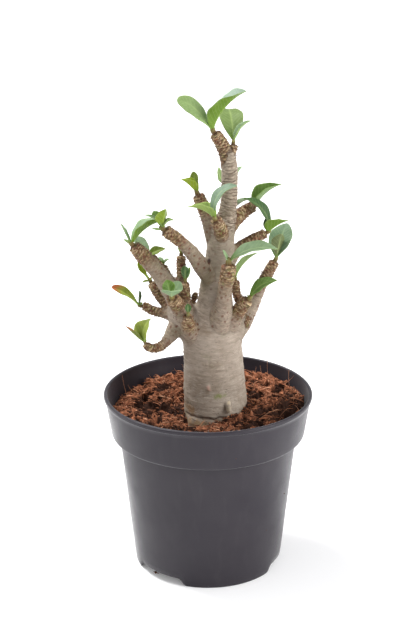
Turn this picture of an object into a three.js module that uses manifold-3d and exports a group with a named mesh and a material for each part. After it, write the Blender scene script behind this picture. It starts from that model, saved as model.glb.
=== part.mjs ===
// A potted desert rose: a swollen grey trunk with stubby scarred branches and a few
// leathery leaves at each branch tip, planted in coir in a moulded plastic nursery pot.
// Millimetres, +Z up. The origin is the middle of the pot's foot, on the surface it stands on.
import * as THREE from "three";
import { mergeVertices } from "three/addons/utils/BufferGeometryUtils.js";
import Module from "manifold-3d";

const wasm = await Module();
wasm.setup();

// ---------------------------------------------------------------- driving dimensions

const GAP = 0.3; // clearance left between two solids that touch

const POT = {
  height: 113,
  rimRadius: 65,
  wall: 1.2,
  beadWidth: 2.2, // rounded lip round the rim
  beadHeight: 2.8,
  bandTop: 64, // radius of the collar under the lip
  bandBottom: 60.6,
  bandHeight: 26.3,
  bodyTop: 55.5, // radius of the body just under the collar
  footRadius: 46.3,
  floorHeight: 5, // the floor stands this far off the surface
  feet: 3,
  firstNotch: 228, // degrees, counted from +X
  notchHeight: 4.6,
  notchBottomWidth: 39,
  notchTopWidth: 30,
  drainRadius: 4,
  drainRing: 36,
  sides: 40,
};

const SOIL = {
  level: 102.4, // height of the surface at the middle of the pot
  tilt: { x: 0.05, y: 0.035 }, // rise per millimetre towards +X and +Y
  edgeRadius: 60.2,
  edgeDrop: 1.5,
  rings: [52, 44, 36, 29, 23],
  sides: 32,
  hollow: { x: -9.5, y: -14.5, radius: 9.5, depth: 8.5 }, // where the coir has sunk by the trunk
  mound: { x: 38, y: -5, radius: 26, height: 3 }, // where it is heaped on the other side
  socketRoom: 0.7,
};

const LEAF = {
  thickness: 0.72,
  petiole: 0.95, // half width of the stalk
  tip: 0.45, // half width left at the tip
  stationLength: 4, // about how far apart the cross-sections are
};

// The bud the leaves grow from: its radius and height as shares of the limb's radius, and how
// far up it the leaves are rooted. The bark stops short of a limb's measured tip by as much.
const BUD = { sides: 7, radius: 0.62, height: 0.8, root: 1.3 };

const COLOUR = {
  pot: 0x4c4b50,
  coir: 0x7a4630,
  bark: 0xa39a88,
  leaf: 0x7f9f78,
};

// ---------------------------------------------------------------- the plant's measurements

// Each row of a path is x, y, z and the limb's radius there.
const TRUNK = [
  [5, 3, 61, 14],
  [5, 3, 72, 18.6],
  [5, 3, 92, 20],
  [4.6, 3, 106, 19.7],
  [3.4, 3, 128, 18.6],
  [2.7, 3, 146, 18],
  [3.4, 2, 157, 16.6],
  [4, 1, 166, 12.6],
  [4.5, 0, 178, 9.6],
];

const STEM = [
  [4.3, 0.5, 171, 11],
  [4.6, 0, 181, 9.8],
  [6.4, 0, 197, 8.5],
  [7.8, 0, 210, 8.1],
  [9, 0, 219, 7.2],
  [11.3, 0, 227, 5.6],
  [12.5, 0, 236, 4.9],
  [12.7, 0, 247, 5],
  [12.4, 0, 258, 4.9],
  [11.4, 0, 264.5, 4.5],
];

// The trunk's two shoulders, from which the side limbs rise.
const SHOULDERS = {
  left: [
    [0, 1, 142, 11],
    [-7.5, 0, 153, 10.8],
    [-14.8, -2, 163.5, 9.2],
    [-19, -3, 171, 7],
  ],
  right: [
    [10, 2, 147, 9],
    [14.5, 1.5, 152.5, 8],
    [18.5, 1.5, 158, 6.6],
  ],
};

const ROOTS = {
  lobe: [
    [0, -5, 105, 6],
    [-4, -7.5, 98, 8],
    [-5, -8, 90, 8],
    [-5, -8, 80, 5],
  ],
  peg: [
    [12, -12, 112, 1.4],
    [13, -17, 109.5, 1.8],
    [13.3, -18.2, 105, 1.8],
  ],
};

// A leaf is set by: turn, the compass angle it points to; rise, its angle above the level at
// the stalk; droop, how far it bends down by its tip, and bow, where along it the bend falls;
// its length and width; widest, the share of its length where it is widest; blunt, below 1 for
// a round tip and above 1 for a pointed one; roll and twist, the turn of the blade about its
// rib at the stalk and the further turn by the tip; and fold, how far each half is raised.
const LIMBS = {
  crown_left: {
    path: [
      [12.4, 0, 255, 4.4],
      [11, 0, 262.5, 4.6],
      [8, -0.5, 270, 3.8],
      [5, -1, 274.7, 3.3],
      [3, -1, 277.6, 3],
    ],
    leaves: [
      {
        turn: 189, rise: 55.5, droop: 48, bow: 2.4, length: 29, width: 11.6,
        widest: 0.62, blunt: 0.42, roll: 42, twist: 4, fold: 4,
      },
      {
        turn: 331.5, rise: 86, droop: 59, bow: 0.62, length: 34.6, width: 17.4,
        widest: 0.46, blunt: 0.75, roll: 15, twist: -45, fold: 36,
      },
    ],
  },
  crown_right: {
    path: [
      [12.5, 0, 261.5, 3.6],
      [14.5, 0.5, 266, 2.8],
      [15, 1, 270.5, 2.5],
    ],
    leaves: [
      {
        turn: 98, rise: 70, droop: 93, bow: 1.3, length: 31.9, width: 14.6,
        widest: 0.51, blunt: 0.6, roll: 5, twist: -12, fold: 10,
      },
      { turn: 29, rise: 76, droop: 62, length: 17, width: 5, roll: 0, fold: 35 },
    ],
  },
  upper_left: {
    path: [
      [7, 0.5, 201, 5],
      [4.2, 1, 211, 5.6],
      [1, 2, 221.5, 4.8],
      [-2.5, 3, 230, 3.9],
      [-5, 3.5, 235.5, 3.5],
      [-6.6, 4, 239.3, 3.1],
    ],
    leaves: [
      { turn: 181, rise: 56, droop: 30, length: 12.5, width: 11, widest: 0.4, blunt: 1.3, fold: 48 },
      { turn: 110, rise: 60, droop: -3, length: 12.8, width: 5.4, widest: 0.67, roll: 24, fold: 20 },
    ],
  },
  upper_front: {
    path: [
      [8.5, 0.5, 206, 4.2],
      [8.5, -3.5, 213, 4.6],
      [7, -9, 221, 3.7],
      [4, -14, 228.3, 3.1],
    ],
    leaves: [
      {
        turn: 177, rise: 57, droop: 62, bow: 0.8, length: 18.1, width: 12.4,
        widest: 0.34, blunt: 1.5, roll: 0, twist: -7, fold: 41,
      },
      {
        turn: 359, rise: 101, droop: 104, bow: 1.3, length: 27.3, width: 9.3,
        widest: 0.49, blunt: 0.6, roll: -35, twist: 20, fold: 10,
      },
    ],
  },
  upper_right: {
    path: [
      [9.5, 0.5, 211, 4.5],
      [17, 4, 223, 4.3],
      [20.5, 7, 225.5, 3.9],
      [24.6, 11.5, 227.2, 3.3],
      [28.5, 15, 228.2, 3],
    ],
    leaves: [
      {
        turn: 3, rise: 66, droop: 51, bow: 0.9, length: 21.7, width: 13.8,
        widest: 0.37, blunt: 1.4, roll: -13, twist: -6, fold: 48,
      },
    ],
  },
  right_rear: {
    path: [
      [9.5, 1, 193, 5.6],
      [17.5, 4, 203.5, 4],
      [24, 5, 208, 3.2],
      [28.5, 5.5, 210.5, 2.9],
      [32, 6, 212, 2.8],
      [36.2, 6, 214.2, 2.7],
    ],
    leaves: [
      {
        turn: 184, rise: 108, droop: 90, bow: 0.7, length: 28.2, width: 9.9,
        widest: 0.59, blunt: 1, roll: 45, twist: -34, fold: 18,
      },
      {
        turn: 343, rise: 56, droop: 38, bow: 0.7, length: 15, width: 12.5,
        widest: 0.33, blunt: 1.3, roll: 22, twist: -9, fold: 39,
      },
      { turn: 120, rise: 70, droop: 0, length: 8.5, width: 5, roll: 20, fold: 10 },
    ],
  },
  right_outer: {
    path: [
      [13, 2, 146, 6.5],
      [19.5, 4, 154, 6.2],
      [25.5, 7, 163, 4.6],
      [28.5, 8.5, 168.5, 4],
      [33, 10.5, 179, 3.5],
      [37, 11.5, 186.5, 3.2],
      [41.5, 12, 195, 2.9],
    ],
    leaves: [
      { turn: 58, rise: 74, droop: 34, bow: 0.8, length: 24, width: 16.1, widest: 0.54, fold: 10 },
      { turn: 314, rise: 79, droop: 4, length: 17.2, width: 9.7, widest: 0.66, roll: 16, fold: 22 },
    ],
  },
  right_low: {
    path: [
      [9, -1, 151, 6],
      [14.5, -6.5, 161, 5.6],
      [19.5, -11, 171, 4.2],
      [24.7, -14, 178.6, 3.2],
    ],
    leaves: [
      {
        turn: 348, rise: 64, droop: 56, length: 21.4, width: 10.3,
        widest: 0.53, blunt: 0.9, roll: -40, twist: 21, fold: 16,
      },
    ],
  },
  front_right: {
    path: [
      [5.5, -2, 144, 7],
      [7.5, -9, 162, 6.8],
      [9.5, -15, 178, 5],
      [10.5, -17.5, 187, 4.4],
      [12, -19.5, 197, 4.3],
      [12.2, -20, 203, 3.9],
    ],
    leaves: [
      {
        turn: 354, rise: 48, droop: 59, bow: 0.9, length: 31.5, width: 12.6,
        widest: 0.53, blunt: 0.9, roll: -24, twist: 14, fold: 19,
      },
      { turn: 200, rise: 65, droop: 0, length: 8.6, width: 3.4, roll: 40, fold: 12 },
    ],
  },
  right_inner: {
    path: [
      [17.5, 4, 157, 5],
      [20, 10, 166, 3],
      [17.5, 13, 173.5, 2.6],
      [16.8, 14, 182, 2.4],
    ],
    leaves: [
      {
        turn: 353, rise: 83, droop: 54, bow: 0.7, length: 22.3, width: 9.6,
        widest: 0.54, blunt: 0.9, roll: 22, twist: -4, fold: 24,
      },
    ],
  },
  left_high: {
    path: [
      [7, 1, 173, 5.5],
      [3.2, -2.5, 186, 6],
      [-4, -8, 197, 5.2],
      [-9, -11.5, 205.5, 4.5],
      [-15, -14, 213, 3.8],
      [-20, -15, 217.5, 3.5],
      [-24, -15.5, 220.5, 3.4],
      [-26.6, -16, 222.5, 3.2],
    ],
    leaves: [
      { turn: 308, rise: 83, droop: 12, length: 12.8, width: 10.5, widest: 0.56, roll: -9, fold: 24 },
      {
        turn: 176, rise: 82, droop: 76, bow: 0.7, length: 14.3, width: 3.8,
        widest: 0.35, blunt: 0.8, roll: 6, twist: 28, fold: 25,
      },
      { turn: 143, rise: 60, droop: 11, length: 11.7, width: 6.5, widest: 0.72, roll: 16, fold: 14 },
      { turn: 20, rise: 82, droop: 100, length: 9.5, width: 4.6, roll: 0, fold: 30 },
      { turn: 200, rise: -8, droop: -30, length: 6.5, width: 2.6, roll: 0, fold: 15 },
    ],
  },
  left_outer: {
    path: [
      [-12, -1, 156, 6.5],
      [-17, -3.5, 168, 6.3],
      [-23, -6.5, 181.5, 5.5],
      [-30, -8, 193, 5],
      [-36.5, -9, 201, 4.7],
      [-41, -9.5, 206.5, 4.2],
      [-45.4, -10, 211.3, 3],
    ],
    leaves: [
      {
        turn: 8, rise: 59, droop: 51, bow: 1.2, length: 23.9, width: 14.5,
        widest: 0.49, blunt: 0.8, roll: 0, twist: 8, fold: 36,
      },
      { turn: 203, rise: 65, droop: 2, length: 14.5, width: 4.8, roll: 30, fold: 12 },
      { turn: 159, rise: 16, droop: -15, length: 5.6, width: 3.4, fold: 20 },
    ],
  },
  left_rear: {
    path: [
      [-14.5, 2, 164.5, 5.5],
      [-22, 11, 180, 3.4],
      [-29.5, 14.5, 188.5, 2.8],
      [-35.4, 16, 196.5, 2.5],
    ],
    leaves: [
      {
        turn: 146, rise: 50, droop: 52, bow: 1.8, length: 15, width: 12,
        widest: 0.57, blunt: 0.8, roll: 74, twist: 24, fold: 22,
      },
      {
        turn: 7, rise: 32, droop: 26, length: 10.5, width: 7.3,
        widest: 0.35, blunt: 1, roll: -31, twist: 3, fold: 24,
      },
    ],
  },
  left_rear_side: {
    path: [
      [-19, 12, 174, 2.6],
      [-24, 19, 182, 1.7],
      [-28, 22.5, 189, 1.5],
    ],
    leaves: [
      { turn: 10, rise: 45, droop: 30, length: 5, width: 3.4, fold: 20 },
      { turn: 130, rise: 50, droop: 30, length: 5, width: 3.4, fold: 20 },
      { turn: 250, rise: 45, droop: 30, length: 5, width: 3.4, fold: 20 },
    ],
  },
  left_under: {
    path: [
      [-14.5, 0, 162.5, 5],
      [-26, 6, 169, 3.4],
      [-30, 7, 173.5, 3],
      [-33, 7.5, 178.5, 2.8],
      [-35.5, 8, 182.5, 2.4],
    ],
    leaves: [
      {
        turn: 158, rise: 48, droop: -22, bow: 1.5, length: 14.1, width: 6.4,
        widest: 0.7, blunt: 0.9, roll: 19, twist: 1, fold: 14,
      },
      { turn: 210, rise: 5, droop: 20, length: 5, width: 2.6, fold: 15 },
    ],
  },
  left_low: {
    path: [
      [-13.5, 0, 161, 5.5],
      [-24.5, 1.5, 163, 3.4],
      [-34, 3, 165, 2.7],
      [-38.5, 4, 167, 2.5],
      [-41.6, 4, 167.6, 2.2],
    ],
    leaves: [
      {
        turn: 177, rise: 49, droop: 28, length: 21.1, width: 7.4,
        widest: 0.6, blunt: 0.5, roll: 4, twist: 37, fold: 25,
      },
      { turn: 185, rise: 85, droop: -10, length: 9.9, width: 3.6, widest: 0.65, roll: 30, fold: 20 },
    ],
  },
  left_hook: {
    path: [
      [-11, -2, 159, 7.5],
      [-18.5, -4, 157.5, 6],
      [-21.5, -5.5, 154, 4.8],
      [-24, -7, 150.5, 3.8],
      [-27, -8.5, 147.5, 3.2],
      [-30, -9.5, 145.5, 2.8],
      [-33.5, -10, 145, 2.5],
      [-36.5, -10, 146, 2.4],
      [-38.6, -10, 149.2, 2.1],
    ],
    leaves: [
      {
        turn: 41, rise: 115, droop: 95, length: 16.6, width: 13.8,
        widest: 0.46, blunt: 1.4, roll: -3, twist: 5, fold: 23,
      },
      { turn: 204, rise: 42, droop: -5, length: 16.5, width: 5.2, widest: 0.57, roll: -8, fold: 30 },
    ],
  },
  front_left: {
    path: [
      [-10, 0, 155, 6.5],
      [-15, -8, 166, 6],
      [-18.5, -17, 175.5, 4.4],
      [-21.5, -26, 183.5, 3.4],
    ],
    leaves: [
      { turn: 135, rise: 66, droop: -4, length: 10.5, width: 8, widest: 0.6, roll: 35, fold: 15 },
      { turn: 40, rise: 55, droop: 11, length: 10.5, width: 8, widest: 0.6, roll: -35, fold: 15 },
      { turn: 270, rise: 34, droop: -20, length: 7.5, width: 12.5, widest: 0.62, blunt: 0.5, fold: 20 },
    ],
  },
  left_inner: {
    path: [
      [-13, -4, 165, 6],
      [-13.5, -9, 177, 3.2],
      [-13.5, -12, 189, 2],
    ],
    leaves: [
      { turn: 97, rise: 80, droop: 48, bow: 1.5, length: 9, width: 5.6, widest: 0.55, fold: 20 },
      { turn: 40, rise: 60, droop: -10, length: 8.5, width: 3, roll: -20, fold: 15 },
    ],
  },
  left_behind: {
    path: [
      [-14.5, 2, 163, 5.5],
      [-16, 9, 176, 3.2],
      [-16.5, 12.5, 189.5, 2.8],
      [-16.5, 14, 198, 2.6],
    ],
    leaves: [{ turn: 200, rise: 72, droop: 25, length: 4.4, width: 2.6, fold: 20 }],
  },
  front_knob: {
    path: [
      [-8, -3, 148, 6],
      [-11, -11, 158, 5.4],
      [-12, -19, 165.5, 3],
      [-11.8, -23, 171.6, 2.2],
    ],
    leaves: [{ turn: 95, rise: 82, droop: 36, length: 6.2, width: 4, widest: 0.56, fold: 17 }],
  },
  rear_high: {
    path: [
      [11, 2, 225.5, 4.6],
      [12.5, 13, 233.5, 3.2],
      [12.5, 18, 239.5, 2.7],
    ],
    leaves: [
      { turn: 170, rise: 20, droop: -85, length: 14.2, width: 7, roll: 20, fold: 15 },
      { turn: 20, rise: 71, droop: 37, length: 14.5, width: 5, roll: -20, fold: 20 },
    ],
  },
  rear_middle: {
    path: [
      [8.5, 2, 213, 5],
      [12.5, 9, 221, 3.2],
      [15.6, 14, 226.8, 2.6],
    ],
    leaves: [{ turn: 5, rise: 52, droop: 45, length: 11, width: 7, widest: 0.5, fold: 20 }],
  },
  dry_bud: {
    path: [
      [-11.5, 5, 164.5, 3.2],
      [-9.5, 7.5, 168.5, 1.9],
      [-8, 10, 172.5, 1.75],
      [-7.5, 11, 175.5, 0.7],
    ],
    leaves: [],
  },
  side_knob: {
    path: [
      [21.5, 2, 158, 5],
      [25.5, 4, 161, 2],
      [29, 5, 159, 1.1],
    ],
    leaves: [],
  },
};

// ---------------------------------------------------------------- meshes and solids

/** The volume inside a closed mesh, negative when its faces point inwards. */
function signedVolume(position, index) {
  const [a, b, c] = [new THREE.Vector3(), new THREE.Vector3(), new THREE.Vector3()];
  let sum = 0;
  for (let i = 0; i < index.length; i += 3) {
    a.fromBufferAttribute(position, index[i]);
    b.fromBufferAttribute(position, index[i + 1]);
    c.fromBufferAttribute(position, index[i + 2]);
    sum += a.dot(b.cross(c));
  }
  return sum / 6;
}

/** A closed geometry made a solid: corners merged, slivers dropped, faces turned outwards. */
function solid(geometry) {
  const bare = geometry.clone();
  bare.deleteAttribute("normal");
  bare.deleteAttribute("uv");
  const merged = mergeVertices(bare);
  const index = [];
  for (let i = 0; i < merged.index.count; i += 3) {
    const [a, b, c] = [0, 1, 2].map((k) => merged.index.getX(i + k));
    if (a !== b && b !== c && c !== a) index.push(a, b, c);
  }
  if (signedVolume(merged.attributes.position, index) < 0) index.reverse();
  return new wasm.Manifold(
    new wasm.Mesh({
      numProp: 3,
      vertProperties: new Float32Array(merged.attributes.position.array),
      triVerts: new Uint32Array(index),
    }),
  );
}

/** The union of a list of solids. */
const join = (solids) => solids.reduce((whole, next) => whole.add(next));

/** A named mesh from a solid. */
function piece(name, body, colour, roughness) {
  const { vertProperties, triVerts } = body.getMesh();
  const geometry = new THREE.BufferGeometry();
  geometry.setAttribute("position", new THREE.BufferAttribute(vertProperties, 3));
  geometry.setIndex(new THREE.BufferAttribute(triVerts, 1));
  geometry.computeVertexNormals();
  const mesh = new THREE.Mesh(
    geometry,
    new THREE.MeshStandardMaterial({ color: colour, roughness, metalness: 0, flatShading: true }),
  );
  mesh.name = name;
  return mesh;
}

/** A profile of [radius, height] points turned round the Z axis. */
function turned(profile, sides) {
  const points = profile.map(([radius, height]) => new THREE.Vector2(radius, height));
  return new THREE.LatheGeometry(points, sides).rotateX(Math.PI / 2);
}

/** A point at the given radius and compass angle in degrees. */
function around(radius, degrees, z = 0) {
  const angle = THREE.MathUtils.degToRad(degrees);
  return new THREE.Vector3(radius * Math.cos(angle), radius * Math.sin(angle), z);
}

// ---------------------------------------------------------------- pot

/** The pot's wall profile: up the outside, over the lip, down the inside and across the floor. */
function potProfile() {
  const { height, rimRadius, wall, beadWidth, beadHeight } = POT;
  const step = height - POT.bandHeight;
  const neck = height - beadHeight;
  const inner = rimRadius - beadWidth;
  const round = 0.7; // the lip's and the collar's rounded edges
  const floor = POT.floorHeight;
  return [
    [0, floor],
    [POT.footRadius - wall, floor],
    [POT.footRadius - wall, 0],
    [POT.footRadius, 0],
    [POT.bodyTop, step],
    [POT.bandBottom - 2 * round, step],
    [POT.bandBottom, step + 2 * round],
    [POT.bandTop, neck],
    [rimRadius, neck + round],
    [rimRadius, height - round],
    [rimRadius - round, height],
    [inner + round, height],
    [inner, height - round],
    [POT.bandTop - wall, neck],
    [POT.bandBottom - wall, step + wall + round],
    [POT.bodyTop - wall, step + wall],
    [POT.footRadius - wall, floor + wall],
    [0, floor + wall],
  ];
}

/** A wedge that cuts one notch between two feet, sloping in towards its top. */
function notch(degrees) {
  const [low, high] = [POT.notchBottomWidth / 2, POT.notchTopWidth / 2];
  const below = -1;
  const shape = new THREE.Shape([
    new THREE.Vector2(-low - 1, below),
    new THREE.Vector2(low + 1, below),
    new THREE.Vector2(high, POT.notchHeight),
    new THREE.Vector2(-high, POT.notchHeight),
  ]);
  const reach = 30;
  const cutter = new THREE.ExtrudeGeometry(shape, { depth: reach, bevelEnabled: false });
  cutter.rotateX(Math.PI / 2).rotateZ(THREE.MathUtils.degToRad(degrees + 90));
  const start = around(POT.footRadius + reach / 2 - 4, degrees);
  const centred = new THREE.Vector3();
  cutter.computeBoundingBox();
  cutter.boundingBox.getCenter(centred);
  return cutter.translate(start.x - centred.x, start.y - centred.y, 0);
}

/** The pot: its turned wall, less the notches under its foot and the drain holes. */
function pot() {
  let body = solid(turned(potProfile(), POT.sides));
  const hole = (x, y) => {
    const drill = new THREE.CylinderGeometry(POT.drainRadius, POT.drainRadius, 4, 12);
    return solid(drill.rotateX(Math.PI / 2).translate(x, y, POT.floorHeight + POT.wall / 2));
  };
  body = body.subtract(hole(0, 0));
  for (let i = 0; i < POT.feet; i += 1) {
    const degrees = POT.firstNotch + (i * 360) / POT.feet;
    const drain = around(POT.drainRing, degrees);
    body = body.subtract(solid(notch(degrees))).subtract(hole(drain.x, drain.y));
  }
  return piece("pot", body, COLOUR.pot, 0.55);
}

// ---------------------------------------------------------------- plant

/** The point, the radius and the crosswise directions along a limb's path, in even steps. */
function limbStations(path, rings) {
  const centre = new THREE.CatmullRomCurve3(path.map(([x, y, z]) => new THREE.Vector3(x, y, z)));
  const girth = new THREE.SplineCurve(path.map(([, , , radius], i) => new THREE.Vector2(i, radius)));
  const frames = centre.computeFrenetFrames(rings, false);
  const stations = [];
  for (let i = 0; i <= rings; i += 1) {
    const t = centre.getUtoTmapping(i / rings);
    stations.push({
      point: centre.getPoint(t),
      radius: girth.getPoint(t).y,
      across: frames.normals[i],
      side: frames.binormals[i],
      along: frames.tangents[i],
    });
  }
  const tip = stations.at(-1);
  tip.point.addScaledVector(tip.along, -BUD.root);
  return stations;
}

/**
 * A cylinder bent along a path. Its radius follows the path's fourth numbers. The leaf scars
 * are rings, radius x (1 + ring cos(pi n)) on ring n, with knobs between them,
 * radius x (1 + knob cos(m angle) cos(pi n)), m half the number of sides, both growing along it.
 * Root is the share of the radius at its first ring, where it starts inside what it grows from.
 */
function limb(path, { sides, rings, ring = 0, knob = 0, room = 0, root = 1 }) {
  const stations = limbStations(path, rings);
  const geometry = new THREE.CylinderGeometry(1, 1, 1, sides, rings);
  const position = geometry.attributes.position;
  const vertex = new THREE.Vector3();
  for (let i = 0; i < position.count; i += 1) {
    vertex.fromBufferAttribute(position, i);
    const along = vertex.y + 0.5;
    const n = Math.round(along * rings);
    const station = stations[n];
    const angle = Math.atan2(vertex.z, vertex.x);
    const relief = along * Math.cos(Math.PI * n) * (ring + knob * Math.cos((sides / 2) * angle));
    const taper = n === rings ? 0.86 : n === 0 ? root : 1;
    const radius = (station.radius + room) * (1 + relief) * taper;
    const { x, z } = vertex;
    vertex.copy(station.point).addScaledVector(station.across, x * radius);
    vertex.addScaledVector(station.side, -z * radius);
    position.setXYZ(i, vertex.x, vertex.y, vertex.z);
  }
  return solid(geometry);
}

/** The trunk, its roots, the shoulders and every limb, grown together as one body. */
function caudex() {
  const parts = [
    limb(TRUNK, { sides: 24, rings: 12 }),
    limb(STEM, { sides: 14, rings: 24, ring: 0.035, knob: 0.02 }),
    limb(SHOULDERS.left, { sides: 14, rings: 5, root: 0.7 }),
    limb(SHOULDERS.right, { sides: 14, rings: 4, root: 0.6 }),
    limb(ROOTS.lobe, { sides: 12, rings: 6, root: 0.6 }),
    limb(ROOTS.peg, { sides: 6, rings: 3, root: 0.6 }),
  ];
  for (const { path } of Object.values(LIMBS)) {
    parts.push(limb(path, { sides: 8, rings: 2 * path.length, ring: 0.05, knob: 0.06, root: 0.5 }));
  }
  return piece("caudex", join(parts), COLOUR.bark, 0.85);
}

/** Half the blade's width at a share s of its length: a stalk, the widest place, then the tip. */
function halfWidth(s, { width, widest = 0.5, blunt = 0.7 }) {
  const bulge = Math.sin(Math.PI * s ** (Math.log(0.5) / Math.log(widest)));
  const outline = Math.max(bulge, 0) ** (s < widest ? 1 : blunt);
  return Math.max((width / 2) * outline, s < 0.5 ? LEAF.petiole : LEAF.tip);
}

/**
 * One leaf, as a closed blade. The rib starts at the origin and turns down from rise to
 * rise minus droop; each half of the blade is raised by fold, and both faces share their split.
 */
function leaf(values) {
  const { turn, rise, droop, bow = 1, length, roll = 0, twist = 0, fold } = values;
  const rad = THREE.MathUtils.degToRad;
  const n = THREE.MathUtils.clamp(Math.round(length / LEAF.stationLength), 3, 8);
  const [ct, st] = [Math.cos(rad(turn)), Math.sin(rad(turn))];
  const slope = (s) => rad(rise - droop * s ** bow);
  const spread = Math.cos(rad(fold));
  const lift = Math.sin(rad(fold));
  const half = LEAF.thickness / 2 / spread;
  const rib = new THREE.Vector3();
  const corners = [];
  for (let i = 0; i <= n; i += 1) {
    const s = i / n;
    const lean = rad(roll + twist * s);
    const up = new THREE.Vector3(-Math.sin(slope(s)) * ct, -Math.sin(slope(s)) * st, Math.cos(slope(s)));
    const right = new THREE.Vector3(st, -ct, 0);
    const face = up.clone().multiplyScalar(Math.cos(lean)).addScaledVector(right, -Math.sin(lean));
    const edge = right.multiplyScalar(Math.cos(lean)).addScaledVector(up, Math.sin(lean));
    const reach = halfWidth(s, values);
    for (const side of [1, -1]) {
      for (const u of [-1, 0, 1]) {
        const corner = rib.clone().addScaledVector(edge, u * reach * spread);
        corners.push(corner.addScaledVector(face, Math.abs(u) * reach * lift + side * half));
      }
    }
    const next = slope(s + 0.5 / n);
    const step = length / n;
    rib.add(new THREE.Vector3(Math.cos(next) * ct, Math.cos(next) * st, Math.sin(next)).multiplyScalar(step));
  }
  const index = [];
  const quad = (a, b, c, d) => index.push(a, b, c, a, c, d);
  for (let i = 0; i < n; i += 1) {
    const [near, far] = [6 * i, 6 * (i + 1)];
    for (const k of [0, 1]) {
      quad(near + k, near + k + 1, far + k + 1, far + k);
      quad(near + 3 + k, far + 3 + k, far + 4 + k, near + 4 + k);
    }
    quad(near, far, far + 3, near + 3);
    quad(near + 2, near + 5, far + 5, far + 2);
  }
  for (const end of [0, 6 * n]) {
    for (const k of [0, 1]) {
      const [a, b, c, d] = [end + k, end + 3 + k, end + 4 + k, end + 1 + k];
      if (end === 0) quad(a, b, c, d);
      else quad(a, d, c, b);
    }
  }
  const geometry = new THREE.BufferGeometry().setFromPoints(corners);
  geometry.setIndex(index);
  return geometry;
}

/** The leaves at one limb's tip, rooted in a small bud that sits on the tip. */
function rosette(name, { path, leaves }) {
  const tip = limbStations(path, 2 * path.length).at(-1);
  const radius = BUD.radius * tip.radius;
  const height = BUD.height * tip.radius;
  const profile = [
    [0, 0],
    [radius, 0],
    [radius, 0.4 * height],
    [0.6 * radius, 0.85 * height],
    [0, height],
  ];
  const points = profile.map(([r, h]) => new THREE.Vector2(r, h));
  const bud = new THREE.LatheGeometry(points, BUD.sides);
  bud.applyQuaternion(new THREE.Quaternion().setFromUnitVectors(new THREE.Vector3(0, 1, 0), tip.along));
  const seat = tip.point.clone().addScaledVector(tip.along, GAP);
  bud.translate(seat.x, seat.y, seat.z);
  const root = seat.clone().addScaledVector(tip.along, BUD.root);
  const blades = leaves.map((values) => solid(leaf(values).translate(root.x, root.y, root.z)));
  return piece(`leaves_${name}`, join([solid(bud), ...blades]), COLOUR.leaf, 0.5);
}

// ---------------------------------------------------------------- soil

/** The height of the coir's surface: a tilted plane, low waves, the mound and the hollow. */
function soilHeight(x, y) {
  const { level, tilt, hollow, mound } = SOIL;
  const waves =
    1.1 * Math.sin(0.31 * x + 1.3) * Math.cos(0.27 * y) +
    0.8 * Math.sin(0.53 * x - 0.41 * y + 0.5) +
    0.6 * Math.sin(0.83 * y + 0.37 * x);
  const near = ({ x: cx, y: cy, radius }) => Math.exp(-((x - cx) ** 2 + (y - cy) ** 2) / radius ** 2);
  const shaped = mound.height * near(mound) - hollow.depth * near(hollow);
  return level + tilt.x * x + tilt.y * y + waves + shaped;
}

/** The coir fills the pot to just off its wall and floor, with plain holes for trunk and root. */
function soil() {
  const floor = POT.floorHeight + POT.wall + GAP;
  const step = POT.height - POT.bandHeight + POT.wall + GAP;
  const inset = POT.wall + GAP + 0.15;
  const top = SOIL.level;
  const profile = [
    [0, floor],
    [POT.footRadius - inset, floor],
    [POT.bodyTop - inset, step],
    [POT.bandBottom - inset - 1, step + 1],
    [SOIL.edgeRadius, top],
    ...SOIL.rings.map((radius) => [radius, top]),
    [0, top],
  ];
  const geometry = turned(profile, SOIL.sides);
  const position = geometry.attributes.position;
  for (let i = 0; i < position.count; i += 1) {
    const [x, y, z] = [position.getX(i), position.getY(i), position.getZ(i)];
    if (z < top - 0.01) continue;
    const atEdge = Math.hypot(x, y) > SOIL.edgeRadius - 1;
    position.setZ(i, soilHeight(x, y) - (atEdge ? SOIL.edgeDrop : 0));
  }
  const below = TRUNK.slice(0, 5);
  const room = SOIL.socketRoom;
  return piece(
    "soil",
    solid(geometry)
      .subtract(limb(below, { sides: 24, rings: 6, room }))
      .subtract(limb(ROOTS.lobe, { sides: 12, rings: 6, room })),
    COLOUR.coir,
    0.95,
  );
}

// ---------------------------------------------------------------- the whole part

const group = new THREE.Group();
group.add(pot(), soil(), caudex());
for (const [name, values] of Object.entries(LIMBS)) {
  if (values.leaves.length > 0) group.add(rosette(name, values));
}

export default group;
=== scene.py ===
"""A potted desert rose adenium: pot, coir, swollen trunk, scarred tips and leaves.

Tables hold millimetres and degrees. Meshes and settings are in metres, in the frame of the
packed part: +Z up the plant, +X to the right from the front, origin in the middle of the foot.
"""

import functools

import bpy
import numpy as np
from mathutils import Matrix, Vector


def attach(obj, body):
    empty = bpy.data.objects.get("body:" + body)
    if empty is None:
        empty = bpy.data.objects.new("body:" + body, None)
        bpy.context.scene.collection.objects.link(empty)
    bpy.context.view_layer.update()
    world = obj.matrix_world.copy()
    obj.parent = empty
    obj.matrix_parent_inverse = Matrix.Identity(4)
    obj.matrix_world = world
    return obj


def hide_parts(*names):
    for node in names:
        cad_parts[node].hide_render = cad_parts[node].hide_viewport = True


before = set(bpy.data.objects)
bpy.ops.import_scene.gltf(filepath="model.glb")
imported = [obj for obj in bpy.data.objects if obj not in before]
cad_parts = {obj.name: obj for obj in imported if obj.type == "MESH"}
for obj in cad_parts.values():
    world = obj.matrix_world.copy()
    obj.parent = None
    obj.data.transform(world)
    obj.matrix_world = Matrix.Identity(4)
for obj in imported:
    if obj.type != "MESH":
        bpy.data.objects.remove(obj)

bl_info = {
    "name": "Potted desert rose",
    "version": (1, 0, 0),
    "blender": (4, 5, 0),
    "location": "3D View > Sidebar > Desert Rose",
    "description": "A desert rose with its coir and nursery pot, grown round its packed solids",
    "category": "Add Mesh",
}

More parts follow.
